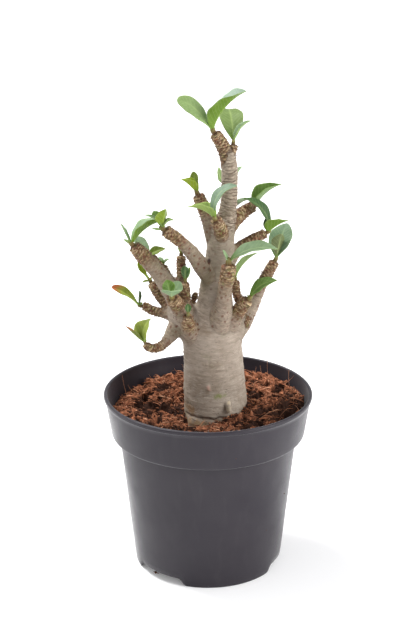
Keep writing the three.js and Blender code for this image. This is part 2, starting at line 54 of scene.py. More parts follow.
MM = 0.001
GOLDEN_TURN = np.radians(137.508)  # between one leaf scar and the next up a branch

# ------------------------------ the plant's measurements

# Each row of a path is x, y, z and the radius there.
TRUNK = [
    (5, 3, 61, 14), (5, 3, 72, 18.6), (5, 3, 92, 20), (4.6, 3, 106, 19.7),
    (3.4, 3, 128, 18.6), (2.7, 3, 146, 18), (3.4, 2, 157, 16.6), (4, 1, 166, 12.6),
    (4.5, 0, 178, 9.6),
]

STEM = [
    (4.3, 0.5, 171, 11), (4.6, 0, 181, 9.8), (6.4, 0, 197, 8.5), (7.8, 0, 210, 8.1),
    (9, 0, 219, 7.2), (11.3, 0, 227, 5.6), (12.5, 0, 236, 4.9), (12.7, 0, 247, 5),
    (12.4, 0, 258, 4.9), (11.4, 0, 264.5, 4.5),
]

# The shoulders that the side limbs rise from, and the roots at the trunk's foot.
SWELLINGS = {
    "left_shoulder": [
        (0, 1, 142, 11), (-7.5, 0, 153, 10.8), (-14.8, -2, 163.5, 9.2),
        (-19, -3, 171, 7),
    ],
    "right_shoulder": [(10, 2, 147, 9), (14.5, 1.5, 152.5, 8), (18.5, 1.5, 158, 6.6)],
    "lobe_root": [(0, -5, 105, 6), (-4, -7.5, 98, 8), (-5, -8, 90, 8), (-5, -8, 80, 5)],
    "peg_root": [(12, -12, 112, 1.4), (13, -17, 109.5, 1.8), (13.3, -18.2, 105, 1.8)],
}

# Every limb's path, from inside the wood it grows from up to its tip.
LIMBS = {
    "crown_left": [
        (12.4, 0, 255, 4.4), (11, 0, 262.5, 4.6), (8, -0.5, 270, 3.8),
        (5, -1, 274.7, 3.3), (3, -1, 277.6, 3),
    ],
    "crown_right": [(12.5, 0, 261.5, 3.6), (14.5, 0.5, 266, 2.8), (15, 1, 270.5, 2.5)],
    "upper_left": [
        (7, 0.5, 201, 5), (4.2, 1, 211, 5.6), (1, 2, 221.5, 4.8), (-2.5, 3, 230, 3.9),
        (-5, 3.5, 235.5, 3.5), (-6.6, 4, 239.3, 3.1),
    ],
    "upper_front": [
        (8.5, 0.5, 206, 4.2), (8.5, -3.5, 213, 4.6), (7, -9, 221, 3.7),
        (4, -14, 228.3, 3.1),
    ],
    "upper_right": [
        (9.5, 0.5, 211, 4.5), (17, 4, 223, 4.3), (20.5, 7, 225.5, 3.9),
        (24.6, 11.5, 227.2, 3.3), (28.5, 15, 228.2, 3),
    ],
    "right_rear": [
        (9.5, 1, 193, 5.6), (17.5, 4, 203.5, 4), (24, 5, 208, 3.2),
        (28.5, 5.5, 210.5, 2.9), (32, 6, 212, 2.8), (36.2, 6, 214.2, 2.7),
    ],
    "right_outer": [
        (13, 2, 146, 6.5), (19.5, 4, 154, 6.2), (25.5, 7, 163, 4.6),
        (28.5, 8.5, 168.5, 4), (33, 10.5, 179, 3.5), (37, 11.5, 186.5, 3.2),
        (41.5, 12, 195, 2.9),
    ],
    "right_low": [
        (9, -1, 151, 6), (14.5, -6.5, 161, 5.6), (19.5, -11, 171, 4.2),
        (24.7, -14, 178.6, 3.2),
    ],
    "front_right": [
        (5.5, -2, 144, 7), (7.5, -9, 162, 6.8), (9.5, -15, 178, 5),
        (10.5, -17.5, 187, 4.4), (12, -19.5, 197, 4.3), (12.2, -20, 203, 3.9),
    ],
    "right_inner": [
        (17.5, 4, 157, 5), (20, 10, 166, 3), (17.5, 13, 173.5, 2.6),
        (16.8, 14, 182, 2.4),
    ],
    "left_high": [
        (7, 1, 173, 5.5), (3.2, -2.5, 186, 6), (-4, -8, 197, 5.2),
        (-9, -11.5, 205.5, 4.5), (-15, -14, 213, 3.8), (-20, -15, 217.5, 3.5),
        (-24, -15.5, 220.5, 3.4), (-26.6, -16, 222.5, 3.2),
    ],
    "left_outer": [
        (-12, -1, 156, 6.5), (-17, -3.5, 168, 6.3), (-23, -6.5, 181.5, 5.5),
        (-30, -8, 193, 5), (-36.5, -9, 201, 4.7), (-41, -9.5, 206.5, 4.2),
        (-45.4, -10, 211.3, 3),
    ],
    "left_rear": [
        (-14.5, 2, 164.5, 5.5), (-22, 11, 180, 3.4), (-29.5, 14.5, 188.5, 2.8),
        (-35.4, 16, 196.5, 2.5),
    ],
    "left_rear_side": [(-19, 12, 174, 2.6), (-24, 19, 182, 1.7), (-28, 22.5, 189, 1.5)],
    "left_under": [
        (-14.5, 0, 162.5, 5), (-26, 6, 169, 3.4), (-30, 7, 173.5, 3),
        (-33, 7.5, 178.5, 2.8), (-35.5, 8, 182.5, 2.4),
    ],
    "left_low": [
        (-13.5, 0, 161, 5.5), (-24.5, 1.5, 163, 3.4), (-34, 3, 165, 2.7),
        (-38.5, 4, 167, 2.5), (-41.6, 4, 167.6, 2.2),
    ],
    "left_hook": [
        (-11, -2, 159, 7.5), (-18.5, -4, 157.5, 6), (-21.5, -5.5, 154, 4.8),
        (-24, -7, 150.5, 3.8), (-27, -8.5, 147.5, 3.2), (-30, -9.5, 145.5, 2.8),
        (-33.5, -10, 145, 2.5), (-36.5, -10, 146, 2.4), (-38.6, -10, 149.2, 2.1),
    ],
    "front_left": [
        (-10, 0, 155, 6.5), (-15, -8, 166, 6), (-18.5, -17, 175.5, 4.4),
        (-21.5, -26, 183.5, 3.4),
    ],
    "left_inner": [(-13, -4, 165, 6), (-13.5, -9, 177, 3.2), (-13.5, -12, 189, 2)],
    "left_behind": [
        (-14.5, 2, 163, 5.5), (-16, 9, 176, 3.2), (-16.5, 12.5, 189.5, 2.8),
        (-16.5, 14, 198, 2.6),
    ],
    "front_knob": [
        (-8, -3, 148, 6), (-11, -11, 158, 5.4), (-12, -19, 165.5, 3),
        (-11.8, -23, 171.6, 2.2),
    ],
    "rear_high": [(11, 2, 225.5, 4.6), (12.5, 13, 233.5, 3.2), (12.5, 18, 239.5, 2.7)],
    "rear_middle": [(8.5, 2, 213, 5), (12.5, 9, 221, 3.2), (15.6, 14, 226.8, 2.6)],
    "dry_bud": [
        (-11.5, 5, 164.5, 3.2), (-9.5, 7.5, 168.5, 1.9), (-8, 10, 172.5, 1.75),
        (-7.5, 11, 175.5, 0.7),
    ],
    "side_knob": [(21.5, 2, 158, 5), (25.5, 4, 161, 2), (29, 5, 159, 1.1)],
}

# The leaves at each limb's tip. A leaf is set by: look, its colouring; turn, the compass
# angle it points to; rise, its angle above the level at the stalk; droop, how far it bends
# down by its tip, and bow, where along it the bend falls; its length and width; widest, the
# share of its length where it is widest; blunt, below 1 for a round tip and above 1 for a
# pointed one; roll and twist, the turn of the blade about its rib at the stalk and the
# further turn by the tip; fold, how far each half is raised; and blush, how red its tip is.
LEAVES = {
    "crown_left": [
        dict(look="sage", turn=189, rise=55.5, droop=48, bow=2.4, length=29, width=11.6,
             widest=0.62, blunt=0.42, roll=42, twist=4, fold=4),
        dict(look="silver", turn=331.5, rise=86, droop=59, bow=0.62, length=34.6, width=17.4,
             widest=0.46, blunt=0.75, roll=15, twist=-45, fold=36),
    ],
    "crown_right": [
        dict(look="moss", turn=98, rise=70, droop=93, bow=1.3, length=31.9, width=14.6,
             widest=0.51, blunt=0.6, roll=5, twist=-12, fold=10),
        dict(look="bloomed", turn=29, rise=76, droop=62, length=17, width=5, fold=35),
    ],
    "upper_left": [
        dict(look="lime", turn=181, rise=56, droop=30, length=12.5, width=11, widest=0.4,
             blunt=1.3, fold=48),
        dict(look="dim", turn=110, rise=60, droop=-3, length=12.8, width=5.4, widest=0.67,
             roll=24, fold=20),
    ],
    "upper_front": [
        dict(look="light", turn=177, rise=57, droop=62, bow=0.8, length=18.1, width=12.4,
             widest=0.34, blunt=1.5, twist=-7, fold=41),
        dict(look="frosted", turn=359, rise=101, droop=104, bow=1.3, length=27.3, width=9.3,
             widest=0.49, blunt=0.6, roll=-35, twist=20, fold=10),
    ],
    "upper_right": [
        dict(look="forest", turn=3, rise=66, droop=51, bow=0.9, length=21.7, width=13.8,
             widest=0.37, blunt=1.4, roll=-13, twist=-6, fold=48),
    ],
    "right_rear": [
        dict(look="deep", turn=184, rise=108, droop=90, bow=0.7, length=28.2, width=9.9,
             widest=0.59, blunt=1, roll=45, twist=-34, fold=18),
        dict(look="sage", turn=343, rise=56, droop=38, bow=0.7, length=15, width=12.5,
             widest=0.33, blunt=1.3, roll=22, twist=-9, fold=39),
        dict(look="deep", turn=120, rise=70, droop=0, length=8.5, width=5, roll=20, fold=10),
    ],
    "right_outer": [
        dict(look="dusky", turn=58, rise=74, droop=34, bow=0.8, length=24, width=16.1,
             widest=0.54, fold=10),
        dict(look="drab", turn=314, rise=79, droop=4, length=17.2, width=9.7, widest=0.66,
             roll=16, fold=22),
    ],
    "right_low": [
        dict(look="forest", turn=348, rise=64, droop=56, length=21.4, width=10.3, widest=0.53,
             blunt=0.9, roll=-40, twist=21, fold=16),
    ],
    "front_right": [
        dict(look="bloomed", turn=354, rise=48, droop=59, bow=0.9, length=31.5, width=12.6,
             widest=0.53, blunt=0.9, roll=-24, twist=14, fold=19),
        dict(look="pale", turn=200, rise=65, droop=0, length=8.6, width=3.4, roll=40, fold=12),
    ],
    "right_inner": [
        dict(look="even", turn=353, rise=83, droop=54, bow=0.7, length=22.3, width=9.6,
             widest=0.54, blunt=0.9, roll=22, twist=-4, fold=24),
    ],
    "left_high": [
        dict(look="spring", turn=308, rise=83, droop=12, length=12.8, width=10.5, widest=0.56,
             roll=-9, fold=24),
        dict(look="bloomed", turn=176, rise=82, droop=76, bow=0.7, length=14.3, width=3.8,
             widest=0.35, blunt=0.8, roll=6, twist=28, fold=25),
        dict(look="forest", turn=143, rise=60, droop=11, length=11.7, width=6.5, widest=0.72,
             roll=16, fold=14),
        dict(look="sage", turn=20, rise=82, droop=100, length=9.5, width=4.6, fold=30),
        dict(look="sage", turn=200, rise=-8, droop=-30, length=6.5, width=2.6, fold=15),
    ],
    "left_outer": [
        dict(look="misty", turn=8, rise=59, droop=51, bow=1.2, length=23.9, width=14.5,
             widest=0.49, blunt=0.8, twist=8, fold=36),
        dict(look="bloomed", turn=203, rise=65, droop=2, length=14.5, width=4.8, roll=30, fold=12),
        dict(look="sage", turn=159, rise=16, droop=-15, length=5.6, width=3.4, fold=20),
    ],
    "left_rear": [
        dict(look="bloomed", turn=146, rise=50, droop=52, bow=1.8, length=15, width=12,
             widest=0.57, blunt=0.8, roll=74, twist=24, fold=22),
        dict(look="dim", turn=7, rise=32, droop=26, length=10.5, width=7.3, widest=0.35, blunt=1,
             roll=-31, twist=3, fold=24),
    ],
    "left_rear_side": [
        dict(look="bloomed", turn=turn, rise=rise, droop=30, length=5, width=3.4, fold=20)
        for turn, rise in ((10, 45), (130, 50), (250, 45))
    ],
    "left_under": [
        dict(look="lime", turn=158, rise=48, droop=-22, bow=1.5, length=14.1, width=6.4,
             widest=0.7, blunt=0.9, roll=19, twist=1, fold=14),
        dict(look="dim", turn=210, rise=5, droop=20, length=5, width=2.6, fold=15),
    ],
    "left_low": [
        dict(look="pear", blush=0.85, turn=177, rise=49, droop=28, length=21.1, width=7.4,
             widest=0.6, blunt=0.5, roll=4, twist=37, fold=25),
        dict(look="deep", turn=185, rise=85, droop=-10, length=9.9, width=3.6, widest=0.65,
             roll=30, fold=20),
    ],
    "left_hook": [
        dict(look="reed", turn=41, rise=115, droop=95, length=16.6, width=13.8, widest=0.46,
             blunt=1.4, roll=-3, twist=5, fold=23),
        dict(look="olive", blush=0.6, turn=204, rise=42, droop=-5, length=16.5, width=5.2,
             widest=0.57, roll=-8, fold=30),
    ],
    "front_left": [
        dict(look="forest", turn=135, rise=66, droop=-4, length=10.5, width=8, widest=0.6,
             roll=35, fold=15),
        dict(look="bloomed", turn=40, rise=55, droop=11, length=10.5, width=8, widest=0.6,
             roll=-35, fold=15),
        dict(look="pale", turn=270, rise=34, droop=-20, length=7.5, width=12.5, widest=0.62,
             blunt=0.5, fold=20),
    ],
    "left_inner": [
        dict(look="deep", turn=97, rise=80, droop=48, bow=1.5, length=9, width=5.6, widest=0.55,
             fold=20),
        dict(look="forest", turn=40, rise=60, droop=-10, length=8.5, width=3, roll=-20, fold=15),
    ],
    "left_behind": [
        dict(look="light", turn=200, rise=72, droop=25, length=4.4, width=2.6, fold=20),
    ],
    "front_knob": [
        dict(look="deep", turn=95, rise=82, droop=36, length=6.2, width=4, widest=0.56, fold=17),
    ],
    "rear_high": [
        dict(look="sage", turn=170, rise=20, droop=-85, length=14.2, width=7, roll=20, fold=15),
        dict(look="bloomed", turn=20, rise=71, droop=37, length=14.5, width=5, roll=-20, fold=20),
    ],
    "rear_middle": [
        dict(look="bloomed", turn=5, rise=52, droop=45, length=11, width=7, fold=20),
    ],
}

# The bud that a limb's leaves grow from: its radius and height as shares of the limb's radius,
# how far the bark stops short of the limb's end, and how far beyond the bark the bud starts.
BUD = {"radius": 0.5, "height": 0.8, "root": 1.3, "seat": 0.3}
STALK_HALF_WIDTH = 0.8

# The leaf settings that colour a leaf above and below. Any other look is a setting's own name
# and colours both faces.
LOOKS = {
    "bloomed": ("bloom", "fresh"),
    "frosted": ("frost", "fresh"),
    "silver": ("silver", "fresh"),
    "misty": ("misty", "fresh"),
    "sage": ("sage", "fresh"),
    "moss": ("moss", "fresh"),
    "even": ("sage", "sage"),
    "pale": ("bloom", "bloom"),
}

# Leaf scars: the patch of bark each takes at the tip, in square millimetres; the distance
# from the tip at which they stand twice as far apart; and half a scar's width and height.
SCAR = {"patch": 3.9, "spread": 14, "half_width": 2.1, "half_height": 0.75}
# Up the stem they have widened into broken rings.
RING_SCAR = {"patch": 12.5, "spread": 90, "half_width": 4.6, "half_height": 1.1}

# How far down from its tip a limb is rough with scars: as a rule, and where it differs.
ROUGH_LENGTH = 12
ROUGH_LENGTHS = {
    "crown_left": 24,
    "upper_right": 21,
    "upper_front": 14,
    "right_rear": 17,
    "right_inner": 20,
    "right_outer": 16,
    "left_rear_side": 18,
    "left_under": 18,
}

# Small marks on the trunk's skin: the place, how wide each is and how far it stands out.
TRUNK_MARKS = {
    "pink_knob": ((0.2, -16.4, 120.8), 1.35, 1.9),
    "left_nub": ((-15.2, -0.5, 114.8), 1.1, 1.2),
    "upper_wart": ((-5.5, -13.9, 131.1), 0.7, 0.35),
    "middle_wart": ((3.0, -16.6, 132.8), 0.8, 0.4),
    "high_wart": ((-1.8, -15.6, 139.6), 0.7, 0.35),
    "crown_wart": ((-1.2, -15.2, 161.5), 1.6, 0.5),
    "side_wart": ((16.5, -11.0, 128.5), 0.8, 0.35),
    "rear_wart": ((3.0, 21.5, 134.0), 1.0, 0.5),
}

# The crack above the roots: angles round the trunk's axis, and the crack's height at each.
CRACK = [(-168, 99.5), (-150, 100.6), (-128, 101.4), (-103, 100.4), (-84, 101.6), (-66, 101.2)]

# Tints on the trunk, the later over the earlier: the place, how far each spreads along x, y
# and z, how strong it is and its colour. Some are painted shade and light, as the peg's and the
# fork's shade.
TINTS = {
    # The front of the foot painted paler: pale bark, lightened further as painted light.
    "pale_lit_foot": ((3.0, -14.0, 108.0), (18, 13, 11), 0.7, (0.43, 0.365, 0.30)),
    "pink_knob": ((0.2, -16.6, 120.8), (1.7, 3, 1.7), 0.95, (0.50, 0.27, 0.21)),
    "pale_peg": ((12.7, -17.4, 108.5), (1.7, 3.2, 4.5), 0.85, (0.46, 0.37, 0.25)),
    "peg_shade": ((10.6, -16.0, 108.0), (1.0, 3, 3.0), 0.6, (0.10, 0.065, 0.035)),
    "dry_patch": ((-12.0, -6.5, 104.5), (4.5, 8, 3.2), 0.9, (0.25, 0.155, 0.08)),
    "green_smudge": ((7.4, -16.4, 115.6), (3.4, 5, 1.6), 0.9, (0.20, 0.215, 0.08)),
    "brown_band": ((3.0, -15.5, 136.0), (7, 6, 2.2), 0.35, (0.13, 0.085, 0.045)),
    "left_foot": ((-9.0, -10.0, 96.5), (5.5, 9, 3.6), 0.9, (0.29, 0.19, 0.105)),
    "middle_foot": ((-2.0, -14.5, 96.8), (4.5, 7, 2.8), 0.9, (0.34, 0.235, 0.135)),
    "right_foot": ((9.0, -15.0, 99.0), (5.0, 6, 1.8), 0.7, (0.24, 0.16, 0.09)),
    "fork_moss": ((-4.0, -9.5, 186.0), (6.5, 8, 6), 0.5, (0.135, 0.120, 0.062)),
    "fork_shade": ((3.0, -12.0, 196.0), (4.5, 8, 9), 0.35, (0.17, 0.135, 0.095)),
    # A darker brown patch below the crown.
    "crown_darker_patch": ((-2.5, -12.0, 157.0), (6, 7, 3.5), 0.4, (0.15, 0.10, 0.055)),
    # The dark slit at the fork: painted shade, with no cut in the mesh.
    "fork_slit_shade": ((0.6, -9.0, 200.4), (0.9, 6, 5.2), 1.0, (0.030, 0.015, 0.010)),
}

# How far apart in the patterns one limb, and one leaf, is set from the next.
LIMB_SHIFT = 17.3
LEAF_SHIFT = 37.0

# In metres: the heights between which the bark turns darker and yellower, and how far
# apart the stem's grooves lie. They sway by up to so many radians, a spacing being 2 pi.
HIGHER_TINT_HEIGHTS = (0.165, 0.195)
GROOVE_SPACING = 0.0018
GROOVE_SWAY = 21


# ------------------------------ arrays


def smoothstep(low, high, x):
    """0 up to low, 1 from high, and 3 t^2 - 2 t^3 between, t the share of the way."""
    t = np.clip((x - low) / (high - low), 0, 1)
    return t * t * (3 - 2 * t)


def blend(a, b, share):
    """a where share is 0, b where it is 1, and straight between them."""
    return a + (b - a) * share


def unit(vectors):
    """Vectors brought to length 1."""
    return vectors / np.maximum(np.linalg.norm(vectors, axis=-1, keepdims=True), 1e-9)


@functools.lru_cache(maxsize=None)
def noise_table(seed):
    """A block of random values from -1 to 1."""
    return np.random.default_rng(seed).uniform(-1, 1, (48, 48, 48))


def noise(points, cell, seed):
    """Smooth noise from -1 to 1.

    Random values stand at the corners of a lattice with this cell, in millimetres. At each
    point the eight round it are weighed by the smooth step of its place in the cell.
    """
    table = noise_table(seed)
    place = np.asarray(points) / np.asarray(cell, float)
    corner = np.floor(place).astype(int)
    part = place - corner
    part = part * part * (3 - 2 * part)
    total = np.zeros(place.shape[:-1])
    for step in np.ndindex(2, 2, 2):
        weight = np.prod(np.where(np.array(step, bool), part, 1 - part), axis=-1)
        index = (corner + step) % table.shape[0]
        total += weight * table[index[..., 0], index[..., 1], index[..., 2]]
    return total


def octaves(points, cell, seed, count=3):
    """Noises added up, each with half the cell and 0.55 times the height of the one before."""
    cell = np.asarray(cell, float)
    return sum(0.55**k * noise(points, cell / 2**k, seed + k) for k in range(count))


# ------------------------------ lines and skins


class Line:
    """A limb's line in even steps: where it is, how thick, which way it runs, how far to its tip.

    Between two rows of the path the line is a cubic. Its slope at each row is that of the
    parabola through the rows either side, timed by the square roots of the distances
    between them, and the row beyond an end is the one inside it mirrored. Across and side
    are square to the line and to each other, carried along it without twisting.
    """

    def __init__(self, path, spacing, trim=0.0):
        rows = np.asarray(path, float)
        held = np.vstack([2 * rows[0] - rows[1], rows, 2 * rows[-1] - rows[-2]])
        timing = np.sqrt(np.linalg.norm(np.diff(held[:, :3], axis=0), axis=1))[:, None]
        before, within, after = timing[:-2], timing[1:-1], timing[2:]
        p0, p1, p2, p3 = held[:-3], held[1:-2], held[2:-1], held[3:]
        leave = (p1 - p0) / before - (p2 - p0) / (before + within) + (p2 - p1) / within
        arrive = (p2 - p1) / within - (p3 - p1) / (within + after) + (p3 - p2) / after
        t = np.linspace(0, 1, 40, endpoint=False)[:, None, None]
        cubic = (
            (2 * t**3 - 3 * t**2 + 1) * p1
            + (t**3 - 2 * t**2 + t) * leave * within
            + (3 * t**2 - 2 * t**3) * p2
            + (t**3 - t**2) * arrive * within
        )
        fine = np.vstack([cubic.transpose(1, 0, 2).reshape(-1, 4), rows[-1]])
        steps = np.linalg.norm(np.diff(fine[:, :3], axis=0), axis=1)
        run = np.concatenate([[0], np.cumsum(steps)])
        length = run[-1] - trim
        place = np.linspace(0, length, max(3, round(length / spacing)) + 1)
        even = np.stack([np.interp(place, run, fine[:, k]) for k in range(4)], axis=1)
        self.centre = even[:, :3]
        self.radius = even[:, 3]
        self.along = unit(np.gradient(self.centre, axis=0))
        self.to_tip = length - place
        self.across = self.carried()
        self.side = np.cross(self.along, self.across)

    def carried(self):
        """A direction square to the line, turned from station to station only as it turns."""
        held = np.eye(3)[np.argmin(np.abs(self.along[0]))]
        across = []
        for direction in self.along:
            held = unit(held - direction * (held @ direction))
            across.append(held)
        return np.array(across)

    def part(self, chosen):
        """The same line at some of its stations only."""
        piece = object.__new__(Line)
        for name, values in vars(self).items():
            setattr(piece, name, values[chosen])
        return piece

    def rings(self, radius, angles):
        """Centre + radius (across cos angle + side sin angle), for every station and angle."""
        radius = np.broadcast_to(radius, (len(self.centre), len(angles)))[..., None]
        cosine, sine = np.cos(angles)[None, :, None], np.sin(angles)[None, :, None]
        return self.centre[:, None] + radius * (
            self.across[:, None] * cosine + self.side[:, None] * sine
        )


def turn_angles(sides):
    """Angles evenly round a circle."""
    return np.arange(sides) * 2 * np.pi / sides


def ring_quads(rows, columns):
    """The numbers of the corners in a grid of rings, those of the next ones round each ring,
    and the quads between the rings."""
    at = np.arange(rows * columns).reshape(rows, columns)
    ahead = np.roll(at, -1, axis=1)
    quads = np.stack([at[:-1], ahead[:-1], ahead[1:], at[1:]], axis=-1).reshape(-1, 4)
    return at, ahead, quads


def tube_faces(rows, columns):
    """Quads between the rings of a grid, and a fan over each end to one more corner."""
    at, ahead, quads = ring_quads(rows, columns)
    first = np.full(columns, rows * columns)
    near = np.stack([first, ahead[0], at[0]], axis=-1)
    far = np.stack([first + 1, at[-1], ahead[-1]], axis=-1)
    return [quads, near, far]


def with_ends(grid):
    """A grid's rows as one list, with the mean of its first and of its last row after them."""
    flat = grid.reshape(-1, *grid.shape[2:])
    return np.concatenate([flat, grid[:1].mean(axis=1), grid[-1:].mean(axis=1)])


# How a mesh keeps a value of one, three or four numbers a corner.
VALUE_KINDS = {
    (): ("FLOAT", "value"),
    (3,): ("FLOAT_VECTOR", "vector"),
    (4,): ("FLOAT_COLOR", "color"),
}


class Skin:
    """The corners, faces and named corner values of one piece, gathered part by part."""

    def __init__(self):
        self.corners = []
        self.faces = []
        self.values = {}
        self.count = 0

    def add(self, corners, faces, **values):
        """One more part: its corners in millimetres, its faces, and a value at every corner."""
        self.corners.append(corners)
        self.faces += [block + self.count for block in faces]
        self.count += len(corners)
        for name, value in values.items():
            shape = (len(corners),) + np.shape(value)[1:]
            self.values.setdefault(name, []).append(np.broadcast_to(value, shape))

    def add_tube(self, grid, **values):
        """A grid of rings, closed round and at both ends. Each value is a grid of its own."""
        ended = {name: with_ends(np.asarray(value, float)) for name, value in values.items()}
        self.add(with_ends(grid), tube_faces(*grid.shape[:2]), **ended)

    def build(self, name, material=None, smooth=True):
        """The gathered parts as a mesh object standing at the origin."""
        mesh = bpy.data.meshes.new(name)
        corners = np.concatenate(self.corners) * MM
        faces = [face for block in self.faces for face in block.tolist()]
        mesh.from_pydata(corners, [], faces)
        mesh.polygons.foreach_set("use_smooth", np.full(len(faces), smooth))
        for value_name, values in self.values.items():
            array = np.concatenate(values).astype(np.float32)
            kind, field = VALUE_KINDS[array.shape[1:]]
            layer = mesh.attributes.new(value_name, kind, "POINT")
            layer.data.foreach_set(field, array.ravel())
        if material is not None:
            mesh.materials.append(material)
        mesh.update()
        piece = bpy.data.objects.new(name, mesh)
        bpy.context.scene.collection.objects.link(piece)
        return piece


def applied(piece):
    """A new mesh: the piece's own with its modifiers applied."""
    depsgraph = bpy.context.evaluated_depsgraph_get()
    return bpy.data.meshes.new_from_object(piece.evaluated_get(depsgraph))


def settle(piece, slot, *nodes):
    """Fixes a finished piece to the plant's one body, in place of these packed nodes."""
    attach(piece, "root")
    if nodes:
        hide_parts(*nodes)


# ------------------------------ materials


class Nodes:
    """Nodes of a material or a world: short calls that add a node and return its output."""

    def __init__(self, owner):
        owner.use_nodes = True
        self.nodes = owner.node_tree.nodes
        self.links = owner.node_tree.links

    def put(self, socket, value):
        """A link where the value is another node's output, the plain value otherwise."""
        if isinstance(value, bpy.types.NodeSocket):
            self.links.new(value, socket)
        elif socket.type == "RGBA":
            socket.default_value = (*value, 1.0)
        else:
            socket.default_value = value

    def value(self, name, output="Fac"):
        """A corner value of the mesh."""
        node = self.nodes.new("ShaderNodeAttribute")
        node.attribute_name = name
        return node.outputs[output]

    def place(self):
        """The place on the piece, in metres."""
        return self.nodes.new("ShaderNodeTexCoord").outputs["Object"]

    def stretched(self, vector, scale):
        """A place multiplied by a scale of its own along each axis."""
        node = self.nodes.new("ShaderNodeMapping")
        node.vector_type = "POINT"
        self.put(node.inputs["Vector"], vector)
        node.inputs["Scale"].default_value = scale
        return node.outputs["Vector"]

    def grain(self, vector, scale, detail=3.0, roughness=0.55, distortion=0.0):
        """Noise from 0 to 1, scale cells to the metre."""
        node = self.nodes.new("ShaderNodeTexNoise")
        self.put(node.inputs["Vector"], vector)
        node.inputs["Scale"].default_value = scale
        node.inputs["Detail"].default_value = detail
        node.inputs["Roughness"].default_value = roughness
        node.inputs["Distortion"].default_value = distortion
        return node.outputs["Fac"]

    def cells(self, vector, scale):
        """Distance to the nearest of scattered points, scale cells to the metre."""
        node = self.nodes.new("ShaderNodeTexVoronoi")
        self.put(node.inputs["Vector"], vector)
        node.inputs["Scale"].default_value = scale
        return node.outputs["Distance"]

    def share(self, value, low, high, start=0.0, end=1.0, kind="LINEAR"):
        """The value carried from the range low to high to the range start to end, held there."""
        node = self.nodes.new("ShaderNodeMapRange")
        node.interpolation_type = kind
        self.put(node.inputs["Value"], value)
        node.inputs["From Min"].default_value = low
        node.inputs["From Max"].default_value = high
        node.inputs["To Min"].default_value = start
        node.inputs["To Max"].default_value = end
        return node.outputs["Result"]

    def parts(self, vector):
        """The x, y and z of a vector."""
        node = self.nodes.new("ShaderNodeSeparateXYZ")
        self.put(node.inputs[0], vector)
        return node.outputs

    def arithmetic(self, operation, a, b=0.0):
        """One step of arithmetic on two values."""
        node = self.nodes.new("ShaderNodeMath")
        node.operation = operation
        self.put(node.inputs[0], a)
        self.put(node.inputs[1], b)
        return node.outputs[0]

    def times(self, a, b):
        """a times b."""
        return self.arithmetic("MULTIPLY", a, b)

    def plus(self, *values):
        """The values added up."""
        return functools.reduce(functools.partial(self.arithmetic, "ADD"), values)

    def mix(self, share, a, b, kind="MIX"):
        """Colour a where share is 0, b where it is 1."""
        node = self.nodes.new("ShaderNodeMix")
        node.data_type = "RGBA"
        node.blend_type = kind
        self.put(node.inputs[0], share)
        self.put(node.inputs[6], a)
        self.put(node.inputs[7], b)
        return node.outputs[2]


class Finish(Nodes):
    """A material under construction."""

    def __init__(self, name, **constants):
        self.material = bpy.data.materials.new(name)
        super().__init__(self.material)
        self.shader = self.nodes["Principled BSDF"]
        for socket, value in constants.items():
            self.shader.inputs[socket.replace("_", " ")].default_value = value

    def colour(self, value):
        """The colour of the surface."""
        self.put(self.shader.inputs["Base Color"], value)

    def roughness(self, value):
        """How matt the surface is."""
        self.put(self.shader.inputs["Roughness"], value)

    def relief(self, height, distance):
        """Fine relief, distance metres from the height 0 to the height 1."""
        node = self.nodes.new("ShaderNodeBump")
        node.inputs["Distance"].default_value = distance
        self.put(node.inputs["Height"], height)
        self.put(self.shader.inputs["Normal"], node.outputs["Normal"])


# ------------------------------ settings


def length_property(name, description, default):
    """A length in metres."""
    return bpy.props.FloatProperty(
        name=name, description=description, default=default, unit="LENGTH", precision=4
    )


def count_property(name, description, default):
    """A number of like things."""
    return bpy.props.IntProperty(name=name, description=description, default=default, min=0)


def strength_property(name, description, default):
    """A strength of light."""
    return bpy.props.FloatProperty(name=name, description=description, default=default, min=0)


def colour_property(name, description, default):
    """A linear colour."""
    return bpy.props.FloatVectorProperty(
        name=name, description=description, default=default, subtype="COLOR", min=0, max=1
    )


class PotSettings(bpy.types.PropertyGroup):
    """The nursery pot."""

    height: length_property("Height", "From the foot to the top of the rim", 0.113)
    rim_radius: length_property("Rim radius", "Half the width across the rim", 0.065)
    collar_height: length_property("Collar height", "How far the collar reaches down", 0.0263)
    foot_radius: length_property("Foot radius", "Half the width across the foot", 0.0463)
    wall: length_property("Wall", "Thickness of the plastic", 0.0012)
    colour: colour_property("Plastic", "Charcoal of the plastic", (0.022, 0.0185, 0.025))
    dust: colour_property("Dust", "Dried dust on the plastic", (0.07, 0.062, 0.066))


class CoirSettings(bpy.types.PropertyGroup):
    """The coir the plant stands in."""

    level: length_property("Level", "Height of the surface at the middle of the pot", 0.1024)
    fibres: count_property("Fibres", "How many loose fibres lie on the surface", 4500)
    crumbs: count_property("Crumbs", "How many crumbs lie among them", 2100)
    # Pith is also the painted shade in the pits and low places.
    pith: colour_property("Pith", "Moist coir between the fibres", (0.036, 0.014, 0.008))
    fibre: colour_property("Fibre", "Most of the fibres", (0.47, 0.18, 0.09))
    straw: colour_property("Straw", "The driest, palest fibres", (0.62, 0.33, 0.2))


